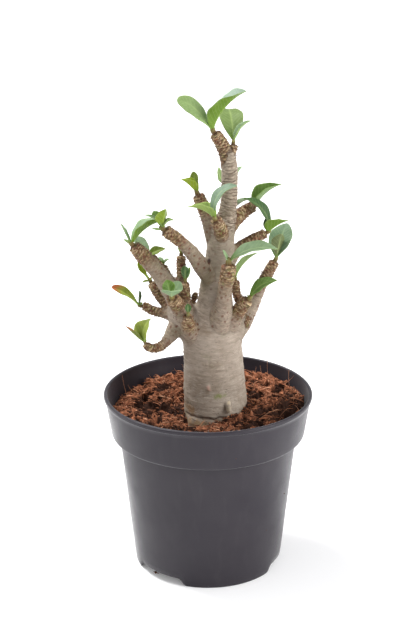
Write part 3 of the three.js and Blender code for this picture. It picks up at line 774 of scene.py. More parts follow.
class BarkSettings(bpy.types.PropertyGroup):
    """The trunk, the limbs and their scars."""

    voxel: length_property("Grain", "Size of the cells that the limbs are fused in", 0.00072)
    wrinkle: length_property("Wrinkle", "Height of the fine rings in the skin", 0.00016)
    skin: colour_property("Skin", "Pale living bark", (0.335, 0.277, 0.222))
    shade: colour_property("Shade", "Older, browner skin", (0.205, 0.155, 0.11))
    moss: colour_property("Green", "Green under thin skin", (0.15, 0.155, 0.07))
    tip: colour_property("Tip", "Ochre bark between the scars", (0.22, 0.125, 0.05))
    ridge: colour_property("Ridge", "Straw crest of a young scar", (0.51, 0.39, 0.23))
    ring: colour_property("Ring", "Pale crest of an old scar", (0.38, 0.32, 0.265))
    scar: colour_property("Scar", "Red-brown middle of a leaf scar", (0.1, 0.024, 0.013))
    # Crease: painted shade in the creases between scars and in the trunk's crack.
    crease: colour_property("Crease", "Dirt in the creases", (0.062, 0.03, 0.016))
    # Groove colours the brown scurf, and the stem's grooves, where it is partly painted shade.
    groove: colour_property("Groove", "Brown grooves between rings", (0.13, 0.086, 0.06))
    rust: colour_property("Rust", "Red-brown blotches near the tips", (0.225, 0.072, 0.032))
    young: colour_property("Young", "Green skin that shows near the tips", (0.215, 0.225, 0.055))
    weathered: colour_property("Higher tint", "Tint of the bark higher up", (0.76, 0.765, 0.72))


class LeafSettings(bpy.types.PropertyGroup):
    """The leaves."""

    thickness: length_property("Thickness", "Of the blade beside its rib", 0.0006)
    # Dusky, reed and dim are greens painted darker as shade, each for leaves that stood in it;
    # silver is the pale bloom, painted lighter still as a highlight.
    bloom: colour_property("Bloom", "Blue-green under a waxy bloom", (0.195, 0.285, 0.155))
    frost: colour_property("Frost", "Bluer bloom", (0.175, 0.25, 0.175))
    silver: colour_property("Silver", "The palest bloom", (0.31, 0.4, 0.32))
    dusky: colour_property("Dusky", "Shaded bloom", (0.13, 0.205, 0.115))
    misty: colour_property("Misty", "Lighter bloom", (0.24, 0.345, 0.19))
    light: colour_property("Light", "Light green", (0.23, 0.315, 0.08))
    spring: colour_property("Spring", "Young green", (0.15, 0.215, 0.012))
    pear: colour_property("Pear", "Pale yellow-green", (0.26, 0.315, 0.045))
    reed: colour_property("Reed", "Yellow-green in shade", (0.195, 0.24, 0.036))
    drab: colour_property("Drab", "Dull grey-green", (0.12, 0.145, 0.06))
    sage: colour_property("Sage", "Soft green", (0.19, 0.275, 0.1))
    moss: colour_property("Moss", "Grey-green", (0.135, 0.195, 0.06))
    fresh: colour_property("Fresh", "Under face of a new leaf", (0.105, 0.185, 0.018))
    lime: colour_property("Lime", "Yellow-green", (0.2, 0.275, 0.004))
    dim: colour_property("Dim", "Shaded yellow-green", (0.12, 0.165, 0.016))
    forest: colour_property("Forest", "Plain green", (0.105, 0.19, 0.036))
    deep: colour_property("Deep", "Dark green", (0.036, 0.085, 0.022))
    olive: colour_property("Olive", "Dull yellow-green", (0.15, 0.18, 0.036))
    rib: colour_property("Rib", "Pale rib and margin", (0.33, 0.39, 0.16))
    blush: colour_property("Blush", "Red tip of a leaf", (0.44, 0.085, 0.04))


class StageSettings(bpy.types.PropertyGroup):
    """The floor, the light and the camera."""

    floor: colour_property("Floor", "Plain pale floor", (0.9, 0.9, 0.91))
    key: bpy.props.FloatProperty(
        name="Key light", description="Power of the soft light", default=26.0, min=0, unit="POWER"
    )
    sky: strength_property("Surroundings", "Strength of the white behind", 0.45)
    sides: strength_property("Sides", "Further strength to the left and the right", 1.0)
    front: strength_property("Front", "Strength of the white before the plant", 0.42)


# ------------------------------ pot

# The pot's rim, collar, body and floor, the radii of its rounded corners, the notches under
# its foot and the drain holes.
POT = {
    "bead_width": 2.2,
    "bead_height": 2.8,
    "collar_top": 64,
    "collar_bottom": 60.6,
    "body_top": 55.5,
    "floor": 5,
    "foot_round": 0.45,
    "step_round": 1.3,
    "bead_round": 0.9,
    "lip_round": 1.0,
    "inner_round": 0.8,
    "first_notch": 228,
    "notch_height": 4.6,
    "notch_bottom_width": 39,
    "notch_top_width": 30,
    "drain_radius": 4,
    "drain_ring": 36,
    "sides": 288,
}


def arc(middle, radius, start, end, count=5):
    """Points on part of a circle: middle + radius (cos angle, sin angle)."""
    angle = np.radians(np.linspace(start, end, count))
    return np.stack([middle[0] + radius * np.cos(angle), middle[1] + radius * np.sin(angle)], 1)


def pot_profile(pot):
    """The wall's outline, radius and height: under the floor, up the outside, over the lip,
    down the inside and across the floor. Rounded corners are parts of circles."""
    height, rim = pot.height / MM, pot.rim_radius / MM
    wall, foot = pot.wall / MM, pot.foot_radius / MM
    step = height - pot.collar_height / MM
    neck = height - POT["bead_height"]
    inner = rim - POT["bead_width"]
    floor = POT["floor"]
    top, low, body = POT["collar_top"], POT["collar_bottom"], POT["body_top"]
    at_foot, at_step, at_bead = POT["foot_round"], POT["step_round"], POT["bead_round"]
    at_lip, inside = POT["lip_round"], POT["inner_round"]
    outside = np.linspace((foot + 0.25, 1.2), (body, step - 0.9), 24)
    collar = np.linspace((low + 0.15, step + 1.8), (top, neck), 10)
    return np.vstack(
        [
            [(0.01, floor), (foot - wall - 0.5, floor), (foot - wall, floor - 0.5)],
            [(foot - wall, 0.35)],
            arc((foot - at_foot, at_foot), at_foot, 225, 340),
            outside,
            [(body + 0.1, step - 0.3)],
            [(body + 0.55, step), (low - at_step, step)],
            arc((low - at_step, step + at_step), at_step, 285, 350),
            collar,
            arc((rim - at_bead, neck + 1.0), at_bead, 300, 350, 4),
            arc((rim - at_lip, height - at_lip), at_lip, 5, 90, 6),
            arc((inner + inside, height - inside), inside, 95, 180),
            np.linspace((inner, neck), (low - wall, step + wall + 0.7), 8),
            arc((body - wall - 0.5, step + wall - at_bead), at_bead, 75, 5, 4),
            np.linspace((body - wall, step), (foot - wall, floor + wall + 0.8), 12),
            [(foot - wall - 0.8, floor + wall), (0.01, floor + wall)],
        ]
    )


def notch_height(angles, radius):
    """How far the foot is cut up at each angle: nothing on the feet, rising smoothly to a
    notch's full height."""
    widths = np.array([POT["notch_bottom_width"], POT["notch_top_width"]])
    reach = np.degrees(np.arcsin(widths / 2 / radius))
    away = np.abs((np.degrees(angles) - POT["first_notch"] + 60) % 120 - 60)
    return POT["notch_height"] * smoothstep(reach[0] + 0.6, reach[1] - 0.6, away)


def cut_drains(piece, floor, wall):
    """Four round drain holes cut through the floor with a Boolean modifier, applied."""
    drills = Skin()
    ring, radius = POT["drain_ring"], POT["drain_radius"]
    angles = np.radians(POT["first_notch"] + np.arange(3) * 120)
    spots = [(0.0, 0.0)] + [(ring * np.cos(a), ring * np.sin(a)) for a in angles]
    for x, y in spots:
        line = Line([(x, y, floor - 2, radius), (x, y, floor + wall + 2, radius)], 2)
        drills.add_tube(line.rings(line.radius[:, None], turn_angles(32)))
    drill = drills.build("drain_drill")
    modifier = piece.modifiers.new("drains", "BOOLEAN")
    modifier.object = drill
    modifier.operation = "DIFFERENCE"
    modifier.solver = "EXACT"
    cut = applied(piece)
    piece.modifiers.clear()
    piece.data = cut
    bpy.data.objects.remove(drill)


def plastic_finish(pot):
    """Matt charcoal plastic with a moulded grain, and dust laid in clouds, faint scuffs and
    specks.
    """
    sheen = {"Sheen_Weight": 0.45, "Sheen_Roughness": 0.3}
    finish = Finish("moulded_plastic", Specular_IOR_Level=0.24, **sheen)
    place = finish.place()
    scuff = finish.share(finish.grain(finish.stretched(place, (1, 1, 0.25)), 160, 4), 0.52, 0.75)
    cloud = finish.share(finish.grain(place, 26, 3), 0.35, 0.75)
    speck = finish.share(finish.cells(place, 420), 0.0, 0.16, 1.0, 0.0)
    sparse = finish.share(finish.grain(place, 60, 2), 0.58, 0.66)
    specks = finish.times(finish.times(speck, sparse), 0.35)
    dust = finish.plus(finish.times(cloud, 0.16), finish.times(scuff, 0.10), specks)
    finish.colour(finish.mix(dust, pot.colour, pot.dust))
    finish.roughness(finish.share(finish.grain(place, 90, 4), 0.3, 0.7, 0.38, 0.50))
    finish.relief(finish.grain(place, 2600, 2), 0.00004)
    return finish.material


class MakePot(bpy.types.Operator):
    """The pot: a thin wall turned round its axis, with a rounded lip, a collar and three feet"""

    bl_idname = "desert_rose.pot"
    bl_label = "Pot"

    def execute(self, context):
        """Turns the profile, lifts the foot's edge in the notches and drills the floor."""
        pot = context.scene.pot_settings
        profile = pot_profile(pot)
        angles = turn_angles(POT["sides"])
        radius = profile[:, 0, None] + 0 * angles
        height = profile[:, 1, None] + 0 * angles
        edge = notch_height(angles, pot.foot_radius / MM)
        at_foot = (profile[:, 1] < POT["floor"]) & (profile[:, 0] > pot.foot_radius / MM - 2)
        height[at_foot] = np.maximum(height[at_foot], height[at_foot] * 0.08 + edge)
        grid = np.stack([radius * np.cos(angles), radius * np.sin(angles), height], axis=-1)
        skin = Skin()
        skin.add_tube(grid)
        piece = skin.build("nursery_pot", plastic_finish(pot))
        cut_drains(piece, POT["floor"], pot.wall / MM)
        settle(piece, "pot", "pot")
        return {"FINISHED"}


# ------------------------------ coir

# The surface's tilt, its edge by the wall, and where it has sunk or is heaped: the middle of
# each such shape, how far it spreads and its height.
COIR = {
    "tilt": (0.05, 0.035),
    "edge_radius": 60.0,
    "shapes": [
        ((-9.5, -14.5), 9.5, -8.5),
        ((38, -5), 26, 3),
        ((1, -22), 8, -2.4),
        ((-54, -12), 12, 3.6),
        ((56, -6), 12, 3.6),
    ],
    "rings": 150,
    "sides": 420,
}

# The trunk's axis at the coir, and how far from it the loose coir starts.
TRUNK_FOOT = (4.8, 3)
TRUNK_CLEAR = 18.6

# Hollows between the clods, sunk and darkened there as painted shade: the middle, how far each
# spreads and how deep it is.
PITS = [
    ((-41, 7), 5.0, 4.5),
    ((-32, 3), 6.0, 5.5),
    ((-22, -1), 5.5, 4.5),
    ((47, -20), 8.0, 6.0),
    ((53, -9), 6.5, 5.5),
    ((-36, -30), 7.0, 4.5),
    ((-22, -32), 6.0, 4.0),
    ((30, -30), 6.0, 3.5),
    ((44, 3), 4.5, 4.0),
    ((31, 8), 3.5, 3.0),
    ((33, -12), 3.0, 2.5),
    ((-46, -9), 3.5, 3.0),
    ((20, -36), 4.0, 3.0),
    ((-16, -40), 4.5, 3.0),
    ((8, 40), 5.0, 4.0),
    ((-30, 32), 5.0, 4.0),
]

# Loose strands that stand up from the coir: where each starts and where it ends.
STRANDS = [
    ((-15.8, 19, 108), (-16.5, 16, 124.5)),
    ((-11.0, 20, 108), (-21.5, 17, 121.5)),
    ((-20.0, 19, 107), (-14.5, 19, 116.5)),
    ((39.8, 27, 108), (38.2, 28, 124)),
    ((36.0, 30, 107), (33.5, 33, 117)),
    ((52.5, 19, 108), (51.5, 21, 118.5)),
    ((47.0, 22, 108), (54.5, 19, 115.5)),
    ((-50.0, 6, 104), (-53.5, 4, 122)),
    ((-44.0, 14, 105), (-50.5, 9, 113.5)),
    ((28.0, 33, 107), (31.0, 36, 115)),
    ((-32.0, 30, 106), (-38.0, 28, 113)),
    ((44.0, -20, 104), (49.0, -22, 110.5)),
]


# Crumbs that have spilt: x, y, z and the size of each.
SPILT = [
    (-32.9, -27.8, 0.8, 1.25),
    (-31.6, -28.6, 0.55, 0.8),
    (-34.0, -26.8, 0.5, 0.75),
    (-29.2, -27.4, 0.35, 0.5),
    (16.5, -60.4, 94.5, 0.45),
    (36.2, -34.8, 34.2, 0.42),
    (28.5, -37.4, 8.2, 0.36),
    (47.5, -22.0, 52.9, 0.42),
]


def near(x, y, middle, reach):
    """exp(-(distance from the middle / reach)^2)."""
    return np.exp(-((x - middle[0]) ** 2 + (y - middle[1]) ** 2) / reach**2)


def from_trunk(x, y):
    """The distance from the trunk's axis."""
    return np.hypot(x - TRUNK_FOOT[0], y - TRUNK_FOOT[1])


def coir_level(x, y, level):
    """The packed surface: a tilted plane, low waves, and the hollows and mounds, each its
    height times exp(-(distance / spread)^2)."""
    waves = (
        1.1 * np.sin(0.31 * x + 1.3) * np.cos(0.27 * y)
        + 0.8 * np.sin(0.53 * x - 0.41 * y + 0.5)
        + 0.6 * np.sin(0.83 * y + 0.37 * x)
    )
    tilt = COIR["tilt"]
    shaped = sum(height * near(x, y, middle, reach) for middle, reach, height in COIR["shapes"])
    return level + tilt[0] * x + tilt[1] * y + waves + shaped


def coir_relief(x, y):
    """Clods, crumbs and pits on the packed surface, and how deep in a pit a place is, which sets
    the painted shade there.

    A clod is 1 - 2 |noise|. By the trunk the surface is lower and smoother. Each hollow of
    PITS takes away its depth times exp(-(distance / spread)^2).
    """
    place = np.stack([x, y, 0 * x], axis=-1)
    clods = 1 - np.abs(octaves(place, 5.5, 11, 3)) * 2
    crumbs = octaves(place, 1.9, 21, 2)
    pits = smoothstep(0.25, 0.72, octaves(place, 9, 31, 2))
    rough = 1.9 * clods + 0.8 * crumbs - 3.2 * pits - 0.8
    by_trunk = smoothstep(31, 20, from_trunk(x, y))
    hollows = sum(depth * near(x, y, middle, reach) for middle, reach, depth in PITS)
    # How deep in a pit or hollow a place is: where the coir is painted dark as shade.
    dark = np.clip(pits + sum(near(x, y, middle, reach) for middle, reach, _ in PITS), 0, 1)
    return rough * (1 - 0.6 * by_trunk) - 1.7 * by_trunk - hollows, dark


def coir_surface(x, y, level):
    """The height of the loose surface, and how deep in a pit a place is, which sets the painted
    shade there.
    """
    relief, pits = coir_relief(x, y)
    out = np.hypot(x, y)
    edge = smoothstep(COIR["edge_radius"] - 5, COIR["edge_radius"], out)
    return coir_level(x, y, level) + relief * (1 - 0.5 * edge) - 1.2 * edge, pits


def coir_finish(coir):
    """Reddish-brown coir by each corner's shade value: dark pith where it is low, as in the
    painted shade of the pits, fibre above, straw where a fibre has dried out.
    """
    finish = Finish("coir_fibre", Roughness=0.92, Specular_IOR_Level=0.2)
    place = finish.place()
    fine = finish.grain(place, 900, 4, 0.65)
    mixed = finish.plus(finish.times(finish.value("shade"), 0.75), finish.times(fine, 0.45))
    dark = finish.mix(finish.share(mixed, 0.38, 0.76), coir.pith, coir.fibre)
    finish.colour(finish.mix(finish.share(mixed, 0.84, 1.2), dark, coir.straw))
    finish.relief(finish.grain(place, 1500, 4, 0.7), 0.0005)
    return finish.material


def scattered(count, seed):
    """Places spread evenly over the pot's mouth, clear of the trunk, and the generator used."""
    rng = np.random.default_rng(seed)
    edge = COIR["edge_radius"] - 1.5
    radius = np.sqrt(rng.uniform(0, 1, count)) * edge
    angle = rng.uniform(0, 2 * np.pi, count)
    x, y = radius * np.cos(angle), radius * np.sin(angle)
    clear = from_trunk(x, y) > TRUNK_CLEAR
    return x[clear], y[clear], rng


def strand_faces(count, rows, sides):
    """The faces of many closed strands of the same rows and sides."""
    at, _, quads = ring_quads(rows, sides)
    ends = np.stack([at[0, ::-1], at[-1]])
    shift = (np.arange(count) * rows * sides)[:, None, None]
    return [(quads[None] + shift).reshape(-1, 4), (ends[None] + shift).reshape(-1, sides)]


def strand_corners(lines, girth, sides):
    """Many strands at once: corners on a circle of the girth's radius, square to each line."""
    along = unit(np.gradient(lines, axis=1))
    upright = np.array([0.13, 0.21, 0.97])
    across = unit(np.cross(along, upright))
    side = np.cross(along, across)
    angle = turn_angles(sides)
    cosine, sine = np.cos(angle)[:, None], np.sin(angle)[:, None]
    spread = across[:, :, None] * cosine + side[:, :, None] * sine
    return lines[:, :, None] + spread * girth[..., None, None]


def add_strands(skin, lines, girth, sides, **values):
    """Many closed strands as one part of a skin."""
    faces = strand_faces(*lines.shape[:2], sides)
    skin.add(strand_corners(lines, girth, sides).reshape(-1, 3), faces, **values)


class MakeCoir(bpy.types.Operator):
    """The coir: a packed surface with clods and pits, and the loose fibres and crumbs on it"""

    bl_idname = "desert_rose.coir"
    bl_label = "Coir"

    def execute(self, context):
        """Makes the packed bed, then the fibres, then the crumbs."""
        coir = context.scene.coir_settings
        finish = coir_finish(coir)
        self.bed(coir, finish)
        self.fibres(coir, finish)
        self.crumbs(coir, finish)
        return {"FINISHED"}

    def bed(self, coir, finish):
        """Rings up a plain skirt inside the pot, each of one radius and height, then inwards
        over the loose surface to its middle."""
        angles = turn_angles(COIR["sides"])
        skirt_radius = np.array([[44.6], [53.8], [58.4]])
        skirt_height = np.array([[6.6], [88.7], [90.2]])
        out = np.linspace(COIR["edge_radius"], 0.4, COIR["rings"])
        x, y = out[:, None] * np.cos(angles), out[:, None] * np.sin(angles)
        height, pits = coir_surface(x, y, coir.level / MM)
        level = skirt_height + 0 * angles
        skirt = [skirt_radius * np.cos(angles), skirt_radius * np.sin(angles), level]
        top = np.stack([x, y, height], axis=-1)
        relief = coir_relief(x, y)[0]
        # Lighter on the clods, darker low down and in the pits: painted light and shade.
        shade = np.vstack([0 * level, 0.42 + 0.12 * relief - 0.25 * pits])
        skin = Skin()
        skin.add_tube(np.concatenate([np.stack(skirt, axis=-1), top]), shade=shade)
        piece = skin.build("coir_bed", finish)
        settle(piece, "coir", "soil")

    def fibres(self, coir, finish):
        """Each fibre is an arc: its middle on the surface, sagging by a share of its length."""
        x, y, rng = scattered(coir.fibres, 5)
        sparse = rng.uniform(0, 1, len(x)) > 0.7 * coir_relief(x, y)[1]
        x, y = x[sparse], y[sparse]
        by_trunk = smoothstep(28, 21, from_trunk(x, y))
        count, rows, sides = len(x), 5, 3
        length = np.clip(rng.lognormal(1.45, 0.5, count), 1.6, 13)
        heading = rng.uniform(0, 2 * np.pi, count)
        pitch = rng.normal(0.05, 0.28, count) * (1 - 0.6 * by_trunk)
        step = np.linspace(-0.5, 0.5, rows)[None, :] * length[:, None]
        curl = rng.normal(0, 0.25, count)[:, None] * length[:, None]
        bow = (step / length[:, None]) ** 2 - 0.08
        cosine, sine = np.cos(heading)[:, None], np.sin(heading)[:, None]
        lines = np.stack(
            [
                x[:, None] + step * cosine - curl * bow * sine,
                y[:, None] + step * sine + curl * bow * cosine,
                step * np.sin(pitch)[:, None] - 0.35 * length[:, None] * bow,
            ],
            axis=-1,
        )
        out = np.hypot(lines[..., 0], lines[..., 1])
        squeeze = np.minimum(1, (COIR["edge_radius"] - 0.4) / np.maximum(out, 1e-6))
        lines[..., :2] *= squeeze[..., None]
        ground, dark = coir_surface(x, y, coir.level / MM)
        ground = ground + rng.uniform(0.0, 0.9, count) - 0.8 * by_trunk
        lines[..., 2] += ground[:, None]
        taper = np.array([0.45, 0.9, 1.0, 0.85, 0.35])
        girth = np.clip(rng.lognormal(-1.35, 0.42, count), 0.11, 0.6)[:, None] * taper
        # Fibres in the pits are painted darker as shade.
        shade = np.clip(rng.normal(0.60, 0.38, count) - 0.6 * dark, 0, 1.4)
        skin = Skin()
        add_strands(skin, lines, girth, sides, shade=np.repeat(shade, rows * sides))
        self.strands(skin, rng)
        settle(skin.build("coir_fibres", finish), "coir")

    def strands(self, skin, rng):
        """The few long strands that stand up: arcs from their start to their end."""
        rows, sides = 9, 4
        t = np.linspace(0, 1, rows)[:, None]
        for start, end in STRANDS:
            start, end = np.array(start, float), np.array(end, float)
            sway = rng.normal(0, 1.6, 3)
            line = blend(start, end, t) + sway * (t * (1 - t)) * 2
            girth = blend(0.15, 0.06, t[:, 0])[None]
            add_strands(skin, line[None], girth, sides, shade=np.full(rows * sides, 1.05))

    def crumbs(self, coir, finish):
        """Each crumb is a twenty-sided ball with every corner moved in or out, flattened."""
        x, y, rng = scattered(coir.crumbs, 6)
        ground, dark = coir_surface(x, y, coir.level / MM)
        size = np.clip(rng.lognormal(-0.45, 0.42, len(x)), 0.3, 1.7)
        place = np.stack([x, y, ground + 0.3 * size], axis=-1)
        skin = Skin()
        # Crumbs in the pits are painted darker as shade.
        shade = rng.normal(0.5, 0.2, len(x)) - 0.6 * dark
        add_crumbs(skin, place, size, rng, np.clip(shade, 0, 1.1))
        settle(skin.build("coir_crumbs", finish, smooth=False), "coir")


def twenty_sided():
    """The corners and faces of a ball of twenty triangles."""
    golden = (1 + 5**0.5) / 2
    corners = np.array(
        [(s, t * golden, 0) for s in (-1, 1) for t in (-1, 1)]
        + [(0, s, t * golden) for s in (-1, 1) for t in (-1, 1)]
        + [(t * golden, 0, s) for s in (-1, 1) for t in (-1, 1)]
    ) / np.hypot(1, golden)
    joined = np.linalg.norm(corners[:, None] - corners[None], axis=-1) < 1.1
    faces = []
    for i, j, k in np.ndindex(12, 12, 12):
        if i < j and i < k and j != k and joined[i, j] and joined[j, k] and joined[i, k]:
            normal = np.cross(corners[j] - corners[i], corners[k] - corners[i])
            if np.dot(normal, corners[i]) > 0:
                faces.append((i, j, k))
    return corners, np.array(faces)


def add_crumbs(skin, place, size, rng, shade):
    """Crumbs at these places: each corner of a ball scaled at random, squashed and turned."""
    ball, faces = twenty_sided()
    count = len(place)
    rough = ball[None] * rng.uniform(0.7, 1.2, (count, 12, 1))
    rough = rough * rng.uniform([0.6, 0.45, 0.35], [1.25, 0.95, 0.75], (count, 1, 3))
    turns = np.linalg.qr(rng.normal(size=(count, 3, 3)))[0]
    turns *= np.sign(np.linalg.det(turns))[:, None, None]
    corners = place[:, None] + np.einsum("nij,nkj->nki", turns, rough) * size[:, None, None]
    shift = (np.arange(count) * 12)[:, None, None]
    skin.add(
        corners.reshape(-1, 3), [(faces[None] + shift).reshape(-1, 3)], shade=np.repeat(shade, 12)
    )


class MakeSpills(bpy.types.Operator):
    """The few crumbs of coir spilt on the pot's wall and on the ground in a notch"""

    bl_idname = "desert_rose.spills"
    bl_label = "Spilt coir"

    def execute(self, context):
        """Puts each crumb where it fell, the ones on the wall half sunk in it."""
        rng = np.random.default_rng(8)
        spilt = np.array(SPILT)
        skin = Skin()
        add_crumbs(skin, spilt[:, :3], spilt[:, 3], rng, np.full(len(spilt), 0.3))
        piece = skin.build("spilt_coir", bpy.data.materials["coir_fibre"], smooth=False)
        settle(piece, "coir")
        return {"FINISHED"}


# ------------------------------ trunk and limbs


def limb_lines(spacing):
    """Every limb's line, ending short of its measured tip by the bud's root."""
    return {name: Line(path, spacing, BUD["root"]) for name, path in LIMBS.items()}


def bark_lines(spacing):
    """The trunk's, stem's, shoulders' and roots' lines, then every limb's."""
    lines = {"trunk": Line(TRUNK, spacing), "stem": Line(STEM, spacing)}
    lines.update({name: Line(path, spacing) for name, path in SWELLINGS.items()})
    lines.update(limb_lines(spacing))
    return lines


def rough_length(name):
    """How far down from its tip a limb is rough with scars."""
    return ROUGH_LENGTHS.get(name, ROUGH_LENGTH)


def collar_reach(name, line):
    """How far down from its tip a limb's finely cut collar reaches."""
    return min(1.25 * rough_length(name), 0.62 * line.to_tip[0])


def freshness(name, down):
    """exp(-(distance down / rough length)^3): 1 at a limb's tip, 0 where its bark is plain."""
    return np.exp(-((np.maximum(down, 0) / rough_length(name)) ** 3))


def leaf_scars(line, reach, scar=SCAR):
    """Where a limb's leaf scars sit: how far down from its tip, at what angle, and how dark.

    Each is a golden turn on from the one above. It is as far below as gives it the same
    patch of bark, divided by the limb's girth there, and further as the bark grows older.
    """
    rng = np.random.default_rng(len(line.centre))
    down, turn, scars = 0.3, rng.uniform(0, 6), []
    while down < reach:
        radius = np.interp(down, line.to_tip[::-1], line.radius[::-1])
        scars.append((down, turn % (2 * np.pi), rng.uniform(0, 1)))
        aged = 1 + (down / scar["spread"]) ** 1.5
        down += scar["patch"] / (2 * np.pi * radius) * aged
        turn += GOLDEN_TURN
    return np.array(scars)


def scar_relief(down, angle, radius, scars, scar=SCAR):
    """Each scar's cushion and its middle.

    With q the distance from the nearest scar in its own half sizes, the cushion is 1 - q^2
    down to the crease between scars, dished in the middle. Returned with it are how near
    the scar's middle a place is, times how dark that scar is, and how deep in a crease, which
    sets the painted shade there.
    """
    turn = np.abs((angle[:, None] - scars[:, 1] + np.pi) % (2 * np.pi) - np.pi)
    across = turn * radius[:, None] / scar["half_width"]
    up = (down[:, None] - scars[:, 0]) / scar["half_height"]
    square = across**2 + up**2
    nearest = square.argmin(axis=1)
    q2 = np.take_along_axis(square, nearest[:, None], axis=1)[:, 0]
    above = np.take_along_axis(up, nearest[:, None], axis=1)[:, 0]
    beside2 = (q2 - above**2) * scar["half_width"] ** 2
    dome = 1 - np.minimum(q2, 1.5) - 0.35 * np.exp(-q2 / 0.10) + 0.25 * above * np.exp(-q2)
    from_middle = beside2 + (above * scar["half_height"]) ** 2
    spot = (1 - smoothstep(0.25, 0.9, from_middle)) * smoothstep(0.35, 0.8, scars[nearest, 2])
    return dome, spot, smoothstep(0.65, 1.25, q2)


def shown(fresh, dome, crease):
    """How much of a crease and of a ridge shows in bark as fresh as this."""
    ridge = smoothstep(0.05, 0.75, dome) * (0.1 + 0.9 * fresh)
    return crease * (0.08 + 0.92 * fresh), ridge


def nearest_line(corners, lines):
    """For every corner, whose surface is nearest and at which of its stations."""
    owner = np.zeros(len(corners), int)
    station = np.zeros(len(corners), int)
    best = np.full(len(corners), np.inf)
    for number, line in enumerate(lines):
        room = line.radius.max() + 3
        inside = (corners > line.centre.min(0) - room) & (corners < line.centre.max(0) + room)
        close = np.flatnonzero(inside.all(axis=1))
        if close.size == 0:
            continue
        square = (
            (corners[close] ** 2).sum(1)[:, None]
            + (line.centre**2).sum(1)[None]
            - 2 * corners[close] @ line.centre.T
        )
        pick = square.argmin(axis=1)
        gap = np.sqrt(np.maximum(square[np.arange(len(close)), pick], 0)) - line.radius[pick]
        better = gap < best[close]
        owner[close[better]] = number
        station[close[better]] = pick[better]
        best[close[better]] = gap[better]
    return owner, station


def gathered(owners, rows, count):
    """For every owner from 0 up to count, the sum of the rows that are its own."""
    return np.stack([np.bincount(owners, column, count) for column in rows.T], axis=1)


def neighbour_mean(corners, edges, count):
    """The mean of every corner's neighbours."""
    ways = (edges.T, edges.T[::-1])
    return sum(gathered(a, corners[b], len(corners)) for a, b in ways) / count[:, None]


def corner_normals(corners, quads):
    """The mean direction of the faces round every corner, each the cross product of a
    face's two diagonals."""
    a, b, c, d = (corners[column] for column in quads.T)
    cross = np.cross(c - a, d - b)
    return unit(sum(gathered(column, cross, len(corners)) for column in quads.T))


def fused_limbs(lines, voxel):
    """All the limbs' tubes as one skin, by Blender's voxel remesh: its corners and quads."""
    cast = Skin()
    for name, line in lines.items():
        swell = np.ones(len(line.centre))
        if name in LIMBS:
            swell = blend(0.5, 1.0, smoothstep(0, 4, line.to_tip[0] - line.to_tip))
            swell *= np.sqrt(np.clip(1 - ((1.6 - line.to_tip) / 2.4).clip(0) ** 2, 0.1, 1))
        cast.add_tube(line.rings((line.radius * swell)[:, None], turn_angles(40)))
    piece = cast.build("limb_cast")
    modifier = piece.modifiers.new("fuse", "REMESH")
    modifier.mode = "VOXEL"
    modifier.voxel_size = voxel
    mesh = applied(piece)
    corners = np.empty(len(mesh.vertices) * 3, np.float32)
    mesh.vertices.foreach_get("co", corners)
    loops = np.empty(len(mesh.loops), np.int32)
    mesh.loops.foreach_get("vertex_index", loops)
    bpy.data.objects.remove(piece)
    return corners.reshape(-1, 3).astype(float) / MM, loops.reshape(-1, 4)


def softened(corners, quads, lines):
    """The skin with its voxel steps smoothed away and the forks between limbs filled out:
    corners move half way to their neighbours' mean, longest near where a limb starts."""
    pairs = np.concatenate([quads[:, [k, (k + 1) % 4]] for k in range(4)])
    edges = np.unique(np.sort(pairs, axis=1), axis=0)
    count = np.bincount(edges.ravel(), minlength=len(corners)).astype(float)
    for _ in range(6):
        corners = blend(corners, neighbour_mean(corners, edges, count), 0.5)
    owner, station = nearest_line(corners, lines)
    from_root = np.empty(len(corners))
    for number, line in enumerate(lines):
        mine = owner == number
        from_root[mine] = (line.to_tip[0] - line.to_tip)[station[mine]]
    fork = (np.exp(-((from_root / 13) ** 2)) * (owner > 1) + 0.25)[:, None]
    for _ in range(26):
        corners = blend(corners, neighbour_mean(corners, edges, count), 0.5 * np.minimum(fork, 1))
    return corners


def tinted(corners):
    """Red, green, blue and strength of the tints at every corner.

    Each tint's strength falls off from its middle as exp(-q^2), q the distance in its own
    spreads, its edge frayed by noise. Later tints are laid over earlier ones.
    """
    paint = np.zeros((len(corners), 4))
    fray = 0.55 * octaves(corners, 2.2, 91, 3)
    for place, spread, strength, colour in TINTS.values():
        square = (((corners - np.array(place)) / np.array(spread)) ** 2).sum(axis=1)
        share = strength * smoothstep(0.05, 0.75, np.exp(-square) + fray * np.exp(-square / 3))
        cover = np.where(paint[:, 3] > 0, share, 1)[:, None]
        paint[:, :3] = blend(paint[:, :3], np.array(colour), cover)
        paint[:, 3] = 1 - (1 - paint[:, 3]) * (1 - share)
    return paint


def trunk_relief(corners, straight, wrinkle):
    """Low swellings, broken rings, warts, the marks and the crack, and how deep in the crack
    a place is, which sets the painted shade in it."""
    swelling = 0.3 * octaves(corners, 13, 41, 2)
    ring = octaves(straight, (6, 6, 1.1), 43, 3) + 0.5 * noise(straight, (18, 18, 2.6), 47)
    warts = 0.32 * smoothstep(0.62, 0.86, noise(corners, (1.9, 1.9, 1.3), 49))
    warts = warts * smoothstep(0.0, 0.5, noise(corners, 11, 51))
    relief = swelling + 1.3 * (wrinkle * ring) + warts
    for place, width, height in TRUNK_MARKS.values():
        away = np.linalg.norm(corners - np.array(place), axis=1) / width
        relief += height * np.exp(-(away**2))
    turns, heights = np.array(CRACK, float).T
    middle = TRUNK[2]
    angle = np.degrees(np.arctan2(corners[:, 1] - middle[1], corners[:, 0] - middle[0]))
    away = corners[:, 2] - np.interp(angle, turns, heights) - 0.7 * noise(corners, 3.5, 53)
    begun = smoothstep(turns[0], turns[0] + 8, angle)
    split = np.exp(-((away / 0.7) ** 2)) * (begun * smoothstep(turns[-1], turns[-1] - 8, angle))
    return relief - 1.1 * split, split


